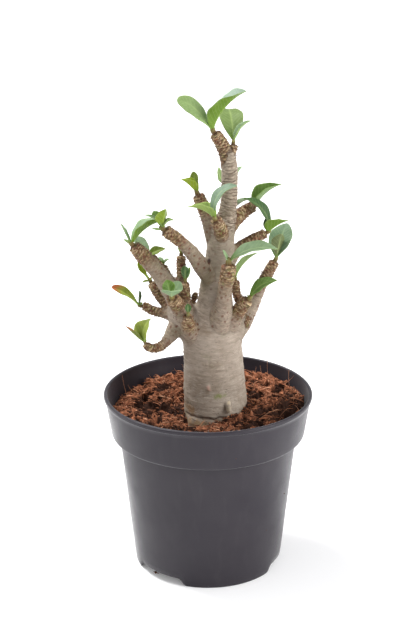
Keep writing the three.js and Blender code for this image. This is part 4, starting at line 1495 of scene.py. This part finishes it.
class MakeBark(bpy.types.Operator):
    """The trunk, roots and limbs as one grown body, and the ringed collars at the limbs' tips"""

    bl_idname = "desert_rose.bark"
    bl_label = "Trunk and limbs"

    def execute(self, context):
        """Fuses the limbs, works the skin's relief, then adds the finely cut collars."""
        bark = context.scene.bark_settings
        finish = bark_finish(bark)
        self.body(bark, finish)
        self.collars(finish)
        self.bristles()
        return {"FINISHED"}

    def body(self, bark, finish):
        """The fused skin pushed out along its normals by the relief of each limb's bark."""
        named = bark_lines(0.6)
        lines = list(named.values())
        corners, quads = fused_limbs(named, bark.voxel)
        corners = softened(corners, quads, lines)
        normals = corner_normals(corners, quads)
        owner, station = nearest_line(corners, lines)
        names = ("age", "spot", "crease", "ridge", "ringed")
        values = {name: np.zeros(len(corners)) for name in names}
        straight = np.zeros_like(corners)
        push = np.zeros(len(corners))
        for number, (name, line) in enumerate(named.items()):
            mine = np.flatnonzero(owner == number)
            if mine.size == 0:
                continue
            at = station[mine]
            offset = corners[mine] - line.centre[at]
            x = (offset * line.across[at]).sum(1)
            y = (offset * line.side[at]).sum(1)
            down = line.to_tip[at] - (offset * line.along[at]).sum(1)
            straight[mine] = np.stack([x, y, down + LIMB_SHIFT * number], axis=1)
            ring = bark.wrinkle / MM * octaves(straight[mine], (4, 4, 1.1), 61, 3)
            lump = 0.28 * octaves(corners[mine], 6.5, 63, 2)
            if name in ("trunk", "lobe_root"):
                relief = trunk_relief(corners[mine], straight[mine], bark.wrinkle / MM)
                push[mine], values["crease"][mine] = relief
                values["age"][mine] = 1
            elif name in LIMBS or name == "stem":
                angle = np.arctan2(y, x)
                push[mine], *worked = self.scarred(
                    name, line, down, angle, line.radius[at], ring + lump
                )
                for value_name, value in zip(names, worked):
                    values[value_name][mine] = value
            else:
                push[mine] = ring + lump
                values["age"][mine] = 1
        values["paint"] = tinted(corners)
        skin = Skin()
        skin.add(corners + normals * push[:, None], [quads], straight=straight * MM, **values)
        piece = skin.build("grown_body", finish)
        settle(piece, "bark", "caudex")

    def scarred(self, name, line, down, angle, radius, plain):
        """A limb's or the stem's bark: cushions near the tip, fading down the limb to plain
        bark with a few dark scars. Under a collar the skin is sunk out of its way. Returns
        how far the skin is pushed out, and its age, spot, crease, ridge and ringed values."""
        scar = RING_SCAR if name == "stem" else SCAR
        scars = leaf_scars(line, line.to_tip[0], scar)
        dome, spot, crease = scar_relief(down, angle, radius, scars, scar)
        if name == "stem":
            fresh = smoothstep(54, 42, down)
            height = 0.06 + 0.50 * fresh
            spot = 0.4 * spot
        else:
            fresh = freshness(name, down)
            height = 0.05 + 0.38 * fresh
            reach = collar_reach(name, line)
            plain = plain - 0.45 * smoothstep(reach - 3, reach - 6, down) * (line.to_tip[0] > 12)
        push = plain + height * (dome - 0.4)
        crease, ridge = shown(fresh, dome, crease)
        if name == "stem":
            return push, 1 - 0.14 * fresh, spot, 0.5 * crease, ridge, fresh
        return push, 0.78 * (1 - fresh), spot, crease, ridge, fresh

    def collars(self, finish):
        """A fine tube over each limb's last stretch, with every cushion and crease cut in,
        drawn in under the limb's skin at its lower end."""
        sides = 46
        angles = turn_angles(sides)
        skin = Skin()
        for number, (name, line) in enumerate(limb_lines(0.36).items()):
            reach = collar_reach(name, line)
            line = line.part(line.to_tip <= reach)
            down, angle = (g.ravel() for g in np.meshgrid(line.to_tip, angles, indexing="ij"))
            radius = np.repeat(line.radius, sides)
            scars = leaf_scars(line, reach + 2)
            dome, spot, crease = scar_relief(down, angle, radius, scars)
            x, y = radius * np.cos(angle), radius * np.sin(angle)
            straight = np.stack([x, y, down + LIMB_SHIFT * number], axis=1)
            fresh = freshness(name, down)
            crease, ridge = shown(fresh, dome, crease)
            height = (0.05 + 0.48 * fresh) * np.minimum(1, radius / 3)
            rough = 0.26 * octaves(straight, (1.5, 1.5, 0.7), 71, 2)
            tuck = smoothstep(reach - 4.5, reach, down)
            crown = np.sqrt(np.clip(1 - ((1.1 - down).clip(0) / 1.5) ** 2, 0.05, 1))
            out = radius * crown + 0.12 + height * (dome - 0.35) + rough * fresh - tuck
            shape = (len(line.centre), sides)
            skin.add_tube(
                line.rings(np.maximum(out, 0.3).reshape(shape), angles),
                straight=(straight * MM).reshape(*shape, 3),
                age=0.78 * (1 - fresh).reshape(shape),
                spot=spot.reshape(shape),
                crease=crease.reshape(shape),
                ridge=ridge.reshape(shape),
                ringed=fresh.reshape(shape),
                paint=np.zeros((*shape, 4)),
            )
        settle(skin.build("scarred_tips", finish), "bark")

    def bristles(self):
        """Dry spikes left between the scars: thin cones leaning up the limb."""
        rng = np.random.default_rng(12)
        starts, ends = [], []
        for line in limb_lines(0.6).values():
            count = int(8 + 2.2 * min(line.to_tip[0], 20))
            down = rng.uniform(0.4, min(17, 0.7 * line.to_tip[0]), count)
            angle = rng.uniform(0, 2 * np.pi, count)
            at = np.abs(line.to_tip[:, None] - down).argmin(axis=0)
            cosine, sine = np.cos(angle)[:, None], np.sin(angle)[:, None]
            outward = line.across[at] * cosine + line.side[at] * sine
            foot = line.centre[at] + outward * line.radius[at][:, None] * 0.98
            lean = unit(outward + line.along[at] * rng.uniform(0.3, 1.4, count)[:, None])
            starts.append(foot)
            ends.append(foot + lean * (0.8 + rng.exponential(0.55, count).clip(0, 2.2))[:, None])
        starts, ends = np.concatenate(starts), np.concatenate(ends)
        t = np.linspace(0, 1, 4)[None, :, None]
        lines = starts[:, None] + (ends - starts)[:, None] * t
        girth = rng.uniform(0.11, 0.24, len(lines))[:, None] * np.array([1.2, 0.9, 0.55, 0.12])
        skin = Skin()
        add_strands(skin, lines, girth, 4)
        settle(skin.build("dry_spikes", spike_finish()), "bark")


def bark_finish(bark):
    """The bark, laid on in this order: pale skin with clouds, rings and fine lines; green
    patches, and a darker, yellower tint higher up; the tips' mottled ochre; the scars' pale
    crests;
    brown scurf; the stem's grooves, darkened partly as painted shade; the trunk's tints, painted
    shade and light among them; pores, painted shade in the creases and the crack, and dark scars."""
    finish = Finish("living_bark", Specular_IOR_Level=0.22)
    place = finish.place()
    straight = finish.value("straight", "Vector")
    age = finish.value("age")
    darker = tuple(0.6 * c for c in bark.shade)

    rings = finish.grain(finish.stretched(straight, (1, 1, 6)), 130, 5, 0.6, 0.4)
    hairlines = finish.grain(finish.stretched(straight, (1, 1, 14)), 190, 3, 0.6)
    cloud = finish.grain(place, 55, 4, 0.6)
    base = finish.mix(finish.share(cloud, 0.42, 0.72, 0, 0.75), bark.skin, bark.shade)
    base = finish.mix(finish.share(rings, 0.55, 0.72, 0, 0.6), base, bark.shade)
    light = tuple(min(1.0, 1.4 * c) for c in bark.skin)
    base = finish.mix(finish.share(rings, 0.47, 0.32, 0, 0.65), base, light)
    base = finish.mix(finish.share(hairlines, 0.58, 0.68, 0, 0.45), base, darker)

    green = finish.share(finish.grain(place, 75, 3, 0.6), 0.57, 0.74, 0, 0.4)
    base = finish.mix(green, base, bark.moss)
    # Darker and yellower higher up.
    higher = finish.share(finish.parts(place)[2], *HIGHER_TINT_HEIGHTS)
    base = finish.mix(higher, base, bark.weathered, "MULTIPLY")

    mottle = finish.grain(finish.stretched(straight, (1, 1, 2.6)), 330, 4, 0.65)
    dull = tuple(0.45 * c for c in bark.tip)
    tip = finish.mix(finish.share(mottle, 0.56, 0.40), bark.tip, dull)
    blotch = finish.grain(place, 300, 3, 0.6)
    tip = finish.mix(finish.share(blotch, 0.55, 0.66, 0, 0.75), tip, bark.rust)
    tip = finish.mix(finish.share(blotch, 0.44, 0.34, 0, 0.75), tip, bark.young)
    base = finish.mix(finish.share(age, 0.9, 0.25, 0, 0.95), base, tip)

    crest = finish.times(finish.value("ridge"), finish.share(mottle, 0.42, 0.57, 0.0, 0.95))
    crest_tone = finish.mix(finish.share(age, 0.5, 0.95), bark.ridge, bark.ring)
    base = finish.mix(crest, base, crest_tone)

    scurf = finish.grain(finish.stretched(straight, (1, 1, 2)), 430, 4, 0.65)
    scurf = finish.share(scurf, 0.50, 0.64, 0, 0.55)
    limbs = finish.share(age, 0.98, 0.86, 0.25, 1)
    base = finish.mix(finish.times(scurf, limbs), base, bark.groove)

    # The stem's grooves between rings: brown bark, darkened further as painted shade.
    sway = finish.grain(finish.stretched(straight, (1, 1, 0.7)), 130, 2, 0.5)
    turns = finish.times(finish.parts(straight)[2], 2 * np.pi / GROOVE_SPACING)
    wave = finish.arithmetic("SINE", finish.plus(turns, finish.times(sway, GROOVE_SWAY)))
    broken = finish.grain(finish.stretched(straight, (1, 1, 2.5)), 170, 2)
    broken = finish.share(broken, 0.40, 0.62, 0.1, 1)
    groove = finish.times(finish.share(wave, 0.35, 0.95), broken)
    groove = finish.times(groove, finish.value("ringed"))
    base = finish.mix(finish.times(groove, 0.8), base, bark.groove)

    base = finish.mix(finish.value("paint", "Alpha"), base, finish.value("paint", "Color"))
    pores = finish.cells(finish.stretched(straight, (1, 1, 1.8)), 330)
    pores = finish.share(pores, 0.08, 0.26, 1, 0)
    base = finish.mix(finish.times(pores, 0.35), base, darker)
    # Painted shade in the creases between scars and in the trunk's crack.
    base = finish.mix(finish.times(finish.value("crease"), 0.85), base, bark.crease)
    base = finish.mix(finish.times(finish.value("spot"), 0.8), base, bark.scar)

    finish.colour(base)
    finish.roughness(finish.share(cloud, 0.3, 0.8, 0.50, 0.72))
    height = finish.plus(finish.times(rings, 0.6), finish.times(hairlines, 0.6))
    height = finish.plus(height, finish.times(mottle, 0.35), finish.times(groove, -0.8))
    finish.relief(finish.plus(height, finish.times(pores, -0.3)), 0.0007)
    return finish.material


def spike_finish():
    """Dry, dark red-brown husk."""
    finish = Finish("dry_husk", Roughness=0.8, Specular_IOR_Level=0.25)
    grain = finish.grain(finish.place(), 500, 3)
    dark, light = (0.10, 0.035, 0.018), (0.26, 0.12, 0.05)
    finish.colour(finish.mix(finish.share(grain, 0.35, 0.65), dark, light))
    finish.relief(grain, 0.0002)
    return finish.material


# ------------------------------ leaves

# The bud's colour at its foot and at its top, and the tones that are laid over a leaf's own:
# where it is clouded, along its side veins and where it is finely speckled.
BUD_TONES = ((0.11, 0.055, 0.022), (0.155, 0.135, 0.040))
LEAF_CLOUD = (0.35, 0.45, 0.25)
LEAF_VEIN = (0.40, 0.46, 0.22)
LEAF_SPECKLE = (0.45, 0.52, 0.30)


def half_width(s, leaf):
    """Half the blade's width at a share s of its length.

    The outline is the sine of pi times s to the power that puts its top at the widest place,
    itself to the power blunt beyond it, and never narrower than the stalk.
    """
    widest, blunt = leaf.get("widest", 0.5), leaf.get("blunt", 0.7)
    bulge = np.sin(np.pi * s ** (np.log(0.5) / np.log(widest))).clip(0)
    outline = np.where(s < widest, bulge, bulge**blunt)
    stalk = np.where(s < 0.5, STALK_HALF_WIDTH, 0.06)
    return np.maximum(leaf["width"] / 2 * outline, stalk)


def blade_frame(leaf, s):
    """The rib's points and, at each, the directions of the upper face and of the right edge.

    The slope at s is rise - droop s^bow. The rib runs that way at the compass angle turn,
    and the blade leans about it by roll + twist s.
    """
    turn = np.radians(leaf["turn"])
    level = np.array([np.cos(turn), np.sin(turn), 0])
    right = np.array([np.sin(turn), -np.cos(turn), 0])
    upright = np.array([0, 0, 1.0])

    def slope(at):
        return np.radians(leaf["rise"] - leaf["droop"] * at ** leaf.get("bow", 1))[:, None]

    middle = (s[1:] + s[:-1]) / 2
    run = np.diff(s)[:, None] * leaf["length"]
    steps = run * (level * np.cos(slope(middle)) + upright * np.sin(slope(middle)))
    rib = np.vstack([np.zeros(3), np.cumsum(steps, axis=0)])
    up = upright * np.cos(slope(s)) - level * np.sin(slope(s))
    lean = np.radians(leaf.get("roll", 0) + leaf.get("twist", 0) * s)[:, None]
    face = up * np.cos(lean) - right * np.sin(lean)
    edge = right * np.cos(lean) + up * np.sin(lean)
    return rib, face, edge


def leaf_colours(leaf, s, u, reach, upper, tones):
    """Each corner's colour: the face's own, fresh green at the stalk, pale along the rib and
    the margin, and red at a blushing tip."""
    above, below = LOOKS.get(leaf["look"], (leaf["look"],) * 2)
    colour = np.where(upper[..., None], tones[above], tones[below])
    stalk = smoothstep(0.30, 0.02, s)[..., None]
    colour = blend(colour, tones["fresh"] * 1.25, 0.75 * stalk)
    from_rib = np.abs(u) * reach
    rib = np.exp(-((from_rib / 0.50) ** 2)) * smoothstep(1.0, 0.55, s)
    margin = smoothstep(reach - 0.55, reach - 0.1, from_rib) * smoothstep(0.05, 0.25, s)
    pale = blend(1.5 * colour, tones["rib"], 0.45)
    colour = blend(colour, pale, np.clip(0.8 * rib + 0.45 * margin, 0, 1)[..., None])
    blush = leaf.get("blush", 0) * smoothstep(0.66, 0.98, s + 0.1 * np.abs(u))
    colour = blend(colour, tones["blush"], blush[..., None])
    return np.concatenate([colour, np.ones_like(colour[..., :1])], axis=-1)


def add_blade(skin, leaf, root, tones, thickness, number, rows=38, columns=17):
    """One leaf as a closed blade.

    At a share s along and u across, from -1 to 1, the middle of the blade is the rib, plus
    u times the half width towards the edge, plus about |u| times the half width up the fold.
    Its margin ripples. The faces stand half the thickness off it, thinner towards the
    margin, with a groove along the rib above and a keel below.
    """
    s = (1 - np.cos(np.pi * np.linspace(0, 1, rows))) / 2
    rib, face, edge = blade_frame(leaf, s)
    reach = half_width(s, leaf)[:, None]
    u = np.linspace(-1, 1, columns)[None, :]
    fold = np.radians(leaf["fold"])
    lift = np.sqrt(u**2 + 0.012) - 0.11 * (1 - np.abs(u))
    waves = 2 * np.pi * (2.6 * s[:, None] + 0.31 * number) + 1.5 * np.sign(u)
    ripple = 0.055 * np.sin(waves) * u**2
    ripple = ripple * smoothstep(0.12, 0.4, s)[:, None] * smoothstep(1.0, 0.8, s)[:, None]
    middle = (
        rib[:, None]
        + edge[:, None] * (u * reach * np.cos(fold))[..., None]
        + face[:, None] * (reach * (lift * np.sin(fold) + ripple))[..., None]
    )
    along = smoothstep(1.0, 0.3, s)[:, None]
    half = thickness / 2 * (0.42 + 0.58 * (1 - np.abs(u) ** 2.5)) + 0.10 * (1 - s[:, None])
    bulk = np.exp(-((u * reach / 0.62) ** 2)) * along
    groove = 0.16 * np.exp(-((u * reach / 0.45) ** 2)) * smoothstep(0.05, 0.2, s)[:, None] * along
    above = middle + face[:, None] * (half - groove)[..., None]
    below = middle - face[:, None] * (half + 0.34 * bulk)[..., None]
    grid = np.concatenate([above, below[:, ::-1]], axis=1) + root
    across = np.concatenate([u, u[:, ::-1]], axis=1) + 0 * s[:, None]
    upper = np.broadcast_to(np.arange(2 * columns) < columns, across.shape)
    share = s[:, None] + 0 * across
    colour = leaf_colours(leaf, share, across, reach, upper, tones)
    shift = LEAF_SHIFT * number + 0 * share
    blade = np.stack([across * reach, share * leaf["length"], shift], axis=-1)
    skin.add_tube(grid, leaf_colour=colour, blade=blade * MM, upper=upper.astype(float))


def add_bud(skin, line):
    """The bud at a limb's tip: rings up its axis, radius times sqrt(1 - t^2) at height t."""
    tip, along = line.centre[-1], line.along[-1]
    radius = BUD["radius"] * line.radius[-1]
    height = 1.15 * BUD["height"] * line.radius[-1] + 0.8
    t = np.linspace(-0.25, 0.97, 8)
    angles = turn_angles(12)
    lobes = 1 + 0.13 * np.cos(3 * angles)[None, :] * t[:, None].clip(0)
    girth = radius * np.sqrt(1 - t**2)[:, None] * lobes
    ring = line.across[-1] * np.cos(angles)[:, None] + line.side[-1] * np.sin(angles)[:, None]
    axis = (tip + along * BUD["seat"]) + along * (t * height)[:, None, None]
    grid = axis + girth[..., None] * ring
    share = smoothstep(-0.1, 0.7, t)[:, None, None] + 0 * girth[..., None]
    tone = blend(*np.array(BUD_TONES), share)
    colour = np.concatenate([tone, np.ones_like(tone[..., :1])], axis=-1)
    skin.add_tube(grid, leaf_colour=colour, blade=grid * MM, upper=np.ones(girth.shape))


def bract(number, line):
    """A small new leaf beside the bud, a golden turn on from the last."""
    turn = np.degrees(number * GOLDEN_TURN) + 31 * len(line.centre)
    size = 0.8 + 0.35 * (number % 3)
    look = "olive" if number % 2 else "dim"
    return dict(look=look, turn=turn % 360, rise=62 + 9 * (number % 3), droop=18,
                length=2.3 * size, width=1.3 * size, widest=0.45, blunt=1.1, fold=25,
                blush=0.5 * (number % 2))


def leaf_finish():
    """Leathery leaf: its corner colours clouded, with fine side veins that leave the rib at a
    slant, a soft sheen, and a waxy bloom that is a little rougher above than below."""
    finish = Finish("leathery_leaf", Specular_IOR_Level=0.2)
    place = finish.place()
    tone = finish.value("leaf_colour", "Color")
    blade = finish.parts(finish.value("blade", "Vector"))
    across = finish.arithmetic("ABSOLUTE", blade[0])
    phase = finish.arithmetic("SUBTRACT", blade[1], finish.times(across, 0.85))
    wobble = finish.times(finish.grain(place, 260, 2), 0.0012)
    wave = finish.arithmetic("SINE", finish.times(finish.plus(phase, wobble), 2600))
    vein = finish.times(finish.share(wave, 0.82, 1.0), finish.share(across, 0.0004, 0.0012))
    cloud = finish.grain(place, 210, 4, 0.6)
    fine = finish.grain(place, 1300, 3, 0.6)
    clouded = finish.share(cloud, 0.55, 0.25, 0, 0.45)
    tone = finish.mix(clouded, tone, LEAF_CLOUD, "MULTIPLY")
    tone = finish.mix(finish.times(vein, 0.16), tone, LEAF_VEIN)
    tone = finish.mix(finish.share(fine, 0.62, 0.72, 0, 0.10), tone, LEAF_SPECKLE)
    finish.colour(tone)
    gloss = finish.share(finish.value("upper"), 0, 1, 0.40, 0.50)
    finish.roughness(finish.plus(gloss, finish.share(cloud, 0.3, 0.7, -0.04, 0.05)))
    finish.relief(finish.plus(finish.times(vein, 0.5), finish.times(fine, 0.25)), 0.00012)
    return finish.material


class MakeLeaves(bpy.types.Operator):
    """The leaves: at every limb's tip a bud, its few leathery leaves and the new ones by it"""

    bl_idname = "desert_rose.leaves"
    bl_label = "Leaves"

    def execute(self, context):
        """One piece for each limb's leaves, in place of the packed ones."""
        leaves = context.scene.leaf_settings
        names = set(LeafSettings.__annotations__) - {"thickness"}
        tones = {name: np.array(getattr(leaves, name)) for name in names}
        finish = leaf_finish()
        number = 0
        for name, line in limb_lines(0.6).items():
            if name not in LEAVES:
                continue
            skin = Skin()
            add_bud(skin, line)
            along = line.along[-1]
            seat = line.centre[-1] + along * BUD["seat"]
            for k in range(4):
                add_blade(skin, bract(k, line), seat + along * 0.4, tones, 0.3, k, 12, 7)
            root = seat + along * BUD["root"]
            for leaf in LEAVES[name]:
                add_blade(skin, leaf, root, tones, leaves.thickness / MM, number)
                number += 1
            settle(skin.build(f"rosette_{name}", finish), "leaf", f"leaves_{name}")
        return {"FINISHED"}


# ------------------------------ stage

WHITE = (1.0, 1.0, 1.0)

# In metres: what the lights face, the distances between which the floor's faint glow grows
# from the one strength to the other, and the camera's place. Its tilt is in degrees.
AIM = (0, 0, 0.16)
GLOW_DISTANCES = (0.25, 0.9)
GLOW_STRENGTHS = (0.14, 0.5)
CAMERA_PLACE = (0, -0.851, 0.4632)
CAMERA_TILT = 19.31


def aimed_light(name, place, target, size, power):
    """A square soft light that faces a point."""
    light = bpy.data.lights.new(name, "AREA")
    light.size = size
    light.energy = power
    lamp = bpy.data.objects.new(name, light)
    bpy.context.scene.collection.objects.link(lamp)
    lamp.location = place
    aim = Vector(target) - Vector(place)
    lamp.rotation_euler = aim.to_track_quat("-Z", "Y").to_euler()


class MakeStage(bpy.types.Operator):
    """The stage: a plain pale floor, white all round, soft light and the camera"""

    bl_idname = "desert_rose.stage"
    bl_label = "Stage"

    def execute(self, context):
        """A round floor, a white world, two soft lights and the camera."""
        stage = context.scene.stage_settings
        self.floor(stage)
        self.surroundings(context.scene, stage)
        aimed_light("key_light", (-0.55, 0.35, 1.4), AIM, 0.5, stage.key)
        aimed_light("side_light", (1.15, -0.55, 0.75), AIM, 0.7, 0.6 * stage.key)
        self.camera(context.scene)
        return {"FINISHED"}

    def floor(self, stage):
        """Rings of a flat disc, radius growing outwards, closed at its middle. It glows a
        little more the further out it is, so that it stays pale from every side."""
        angles = turn_angles(96)
        out = np.array([40, 120, 300, 800, 2000, 6000], float)[:, None]
        x, y = out * np.cos(angles), out * np.sin(angles)
        disc = np.stack([x, y, 0 * x], axis=-1)
        skin = Skin()
        at, _, quads = ring_quads(len(out), len(angles))
        skin.add(disc.reshape(-1, 3), [quads[:, ::-1], at[:1]])
        finish = Finish("pale_floor", Roughness=1.0, Specular_IOR_Level=0.0)
        finish.put(finish.shader.inputs["Emission Color"], WHITE)
        place = finish.place()
        away = finish.nodes.new("ShaderNodeVectorMath")
        away.operation = "LENGTH"
        finish.put(away.inputs[0], place)
        glow = finish.share(away.outputs["Value"], *GLOW_DISTANCES, *GLOW_STRENGTHS)
        finish.put(finish.shader.inputs["Emission Strength"], glow)
        grain = finish.share(finish.grain(place, 3, 2), 0.3, 0.7, 0, 0.04)
        finish.colour(finish.mix(grain, stage.floor, WHITE))
        skin.build("stage_floor", finish.material, smooth=False)

    def surroundings(self, scene, stage):
        """A white world that lights the plant less from the front and more from the sides.
        Where the camera looks straight at it, it is plain white.

        With x and y those of the direction looked in, its strength is front, rising to sky
        as y goes from -0.8 to 0.2, plus sides as |x| goes from 0.25 to 0.95.
        """
        world = bpy.data.worlds.new("white_surroundings")
        tree = Nodes(world)
        background = tree.nodes["Background"]
        tree.put(background.inputs["Color"], WHITE)
        direction = tree.nodes.new("ShaderNodeTexCoord").outputs["Generated"]
        x, y, _ = tree.parts(direction)
        front = tree.share(y, -0.8, 0.2, stage.front, stage.sky, "SMOOTHSTEP")
        aside = tree.arithmetic("ABSOLUTE", x)
        sides = tree.share(aside, 0.25, 0.95, 0.0, stage.sides, "SMOOTHSTEP")
        tree.put(background.inputs["Strength"], tree.plus(front, sides))
        plain = tree.nodes.new("ShaderNodeBackground")
        tree.put(plain.inputs["Color"], WHITE)
        choice = tree.nodes.new("ShaderNodeMixShader")
        seen = tree.nodes.new("ShaderNodeLightPath").outputs["Is Camera Ray"]
        tree.put(choice.inputs["Fac"], seen)
        tree.put(choice.inputs[1], background.outputs[0])
        tree.put(choice.inputs[2], plain.outputs[0])
        tree.put(tree.nodes["World Output"].inputs["Surface"], choice.outputs[0])
        scene.world = world
        scene.view_settings.view_transform = "Standard"

    def camera(self, scene):
        """A long lens a little above the plant, tipped down at it."""
        lens = bpy.data.cameras.new("camera")
        lens.lens = 85
        lens.sensor_width = 36
        camera = bpy.data.objects.new("camera", lens)
        scene.collection.objects.link(camera)
        camera.location = CAMERA_PLACE
        camera.rotation_euler = (np.radians(90 - CAMERA_TILT), 0, 0)
        scene.camera = camera


# ------------------------------ add-on

SETTINGS = {
    "pot_settings": PotSettings,
    "coir_settings": CoirSettings,
    "bark_settings": BarkSettings,
    "leaf_settings": LeafSettings,
    "stage_settings": StageSettings,
}
OPERATORS = (MakePot, MakeCoir, MakeSpills, MakeBark, MakeLeaves, MakeStage)


class DesertRosePanel(bpy.types.Panel):
    """Lists what the desert rose is made of"""

    bl_idname = "VIEW3D_PT_desert_rose"
    bl_label = "Desert Rose"
    bl_space_type = "VIEW_3D"
    bl_region_type = "UI"
    bl_category = "Desert Rose"

    def draw(self, context):
        """A button for each operator, then the settings of each group."""
        for operator in OPERATORS:
            self.layout.operator(operator.bl_idname)
        for group_name, group in SETTINGS.items():
            box = self.layout.box()
            box.label(text=group.__doc__)
            for name in group.__annotations__:
                box.prop(getattr(context.scene, group_name), name)


def register():
    """Makes the settings, the operators and the panel known to Blender."""
    for name, group in SETTINGS.items():
        bpy.utils.register_class(group)
        setattr(bpy.types.Scene, name, bpy.props.PointerProperty(type=group))
    for operator in (*OPERATORS, DesertRosePanel):
        bpy.utils.register_class(operator)


def unregister():
    """Takes them away again."""
    for operator in (DesertRosePanel, *reversed(OPERATORS)):
        bpy.utils.unregister_class(operator)
    for name, group in SETTINGS.items():
        delattr(bpy.types.Scene, name)
        bpy.utils.unregister_class(group)


def main():
    """Makes every piece round the packed frame."""
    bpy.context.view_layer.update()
    register()
    bpy.ops.desert_rose.pot()
    bpy.ops.desert_rose.coir()
    bpy.ops.desert_rose.spills()
    bpy.ops.desert_rose.bark()
    bpy.ops.desert_rose.leaves()
    bpy.ops.desert_rose.stage()


if __name__ == "__main__":
    main()
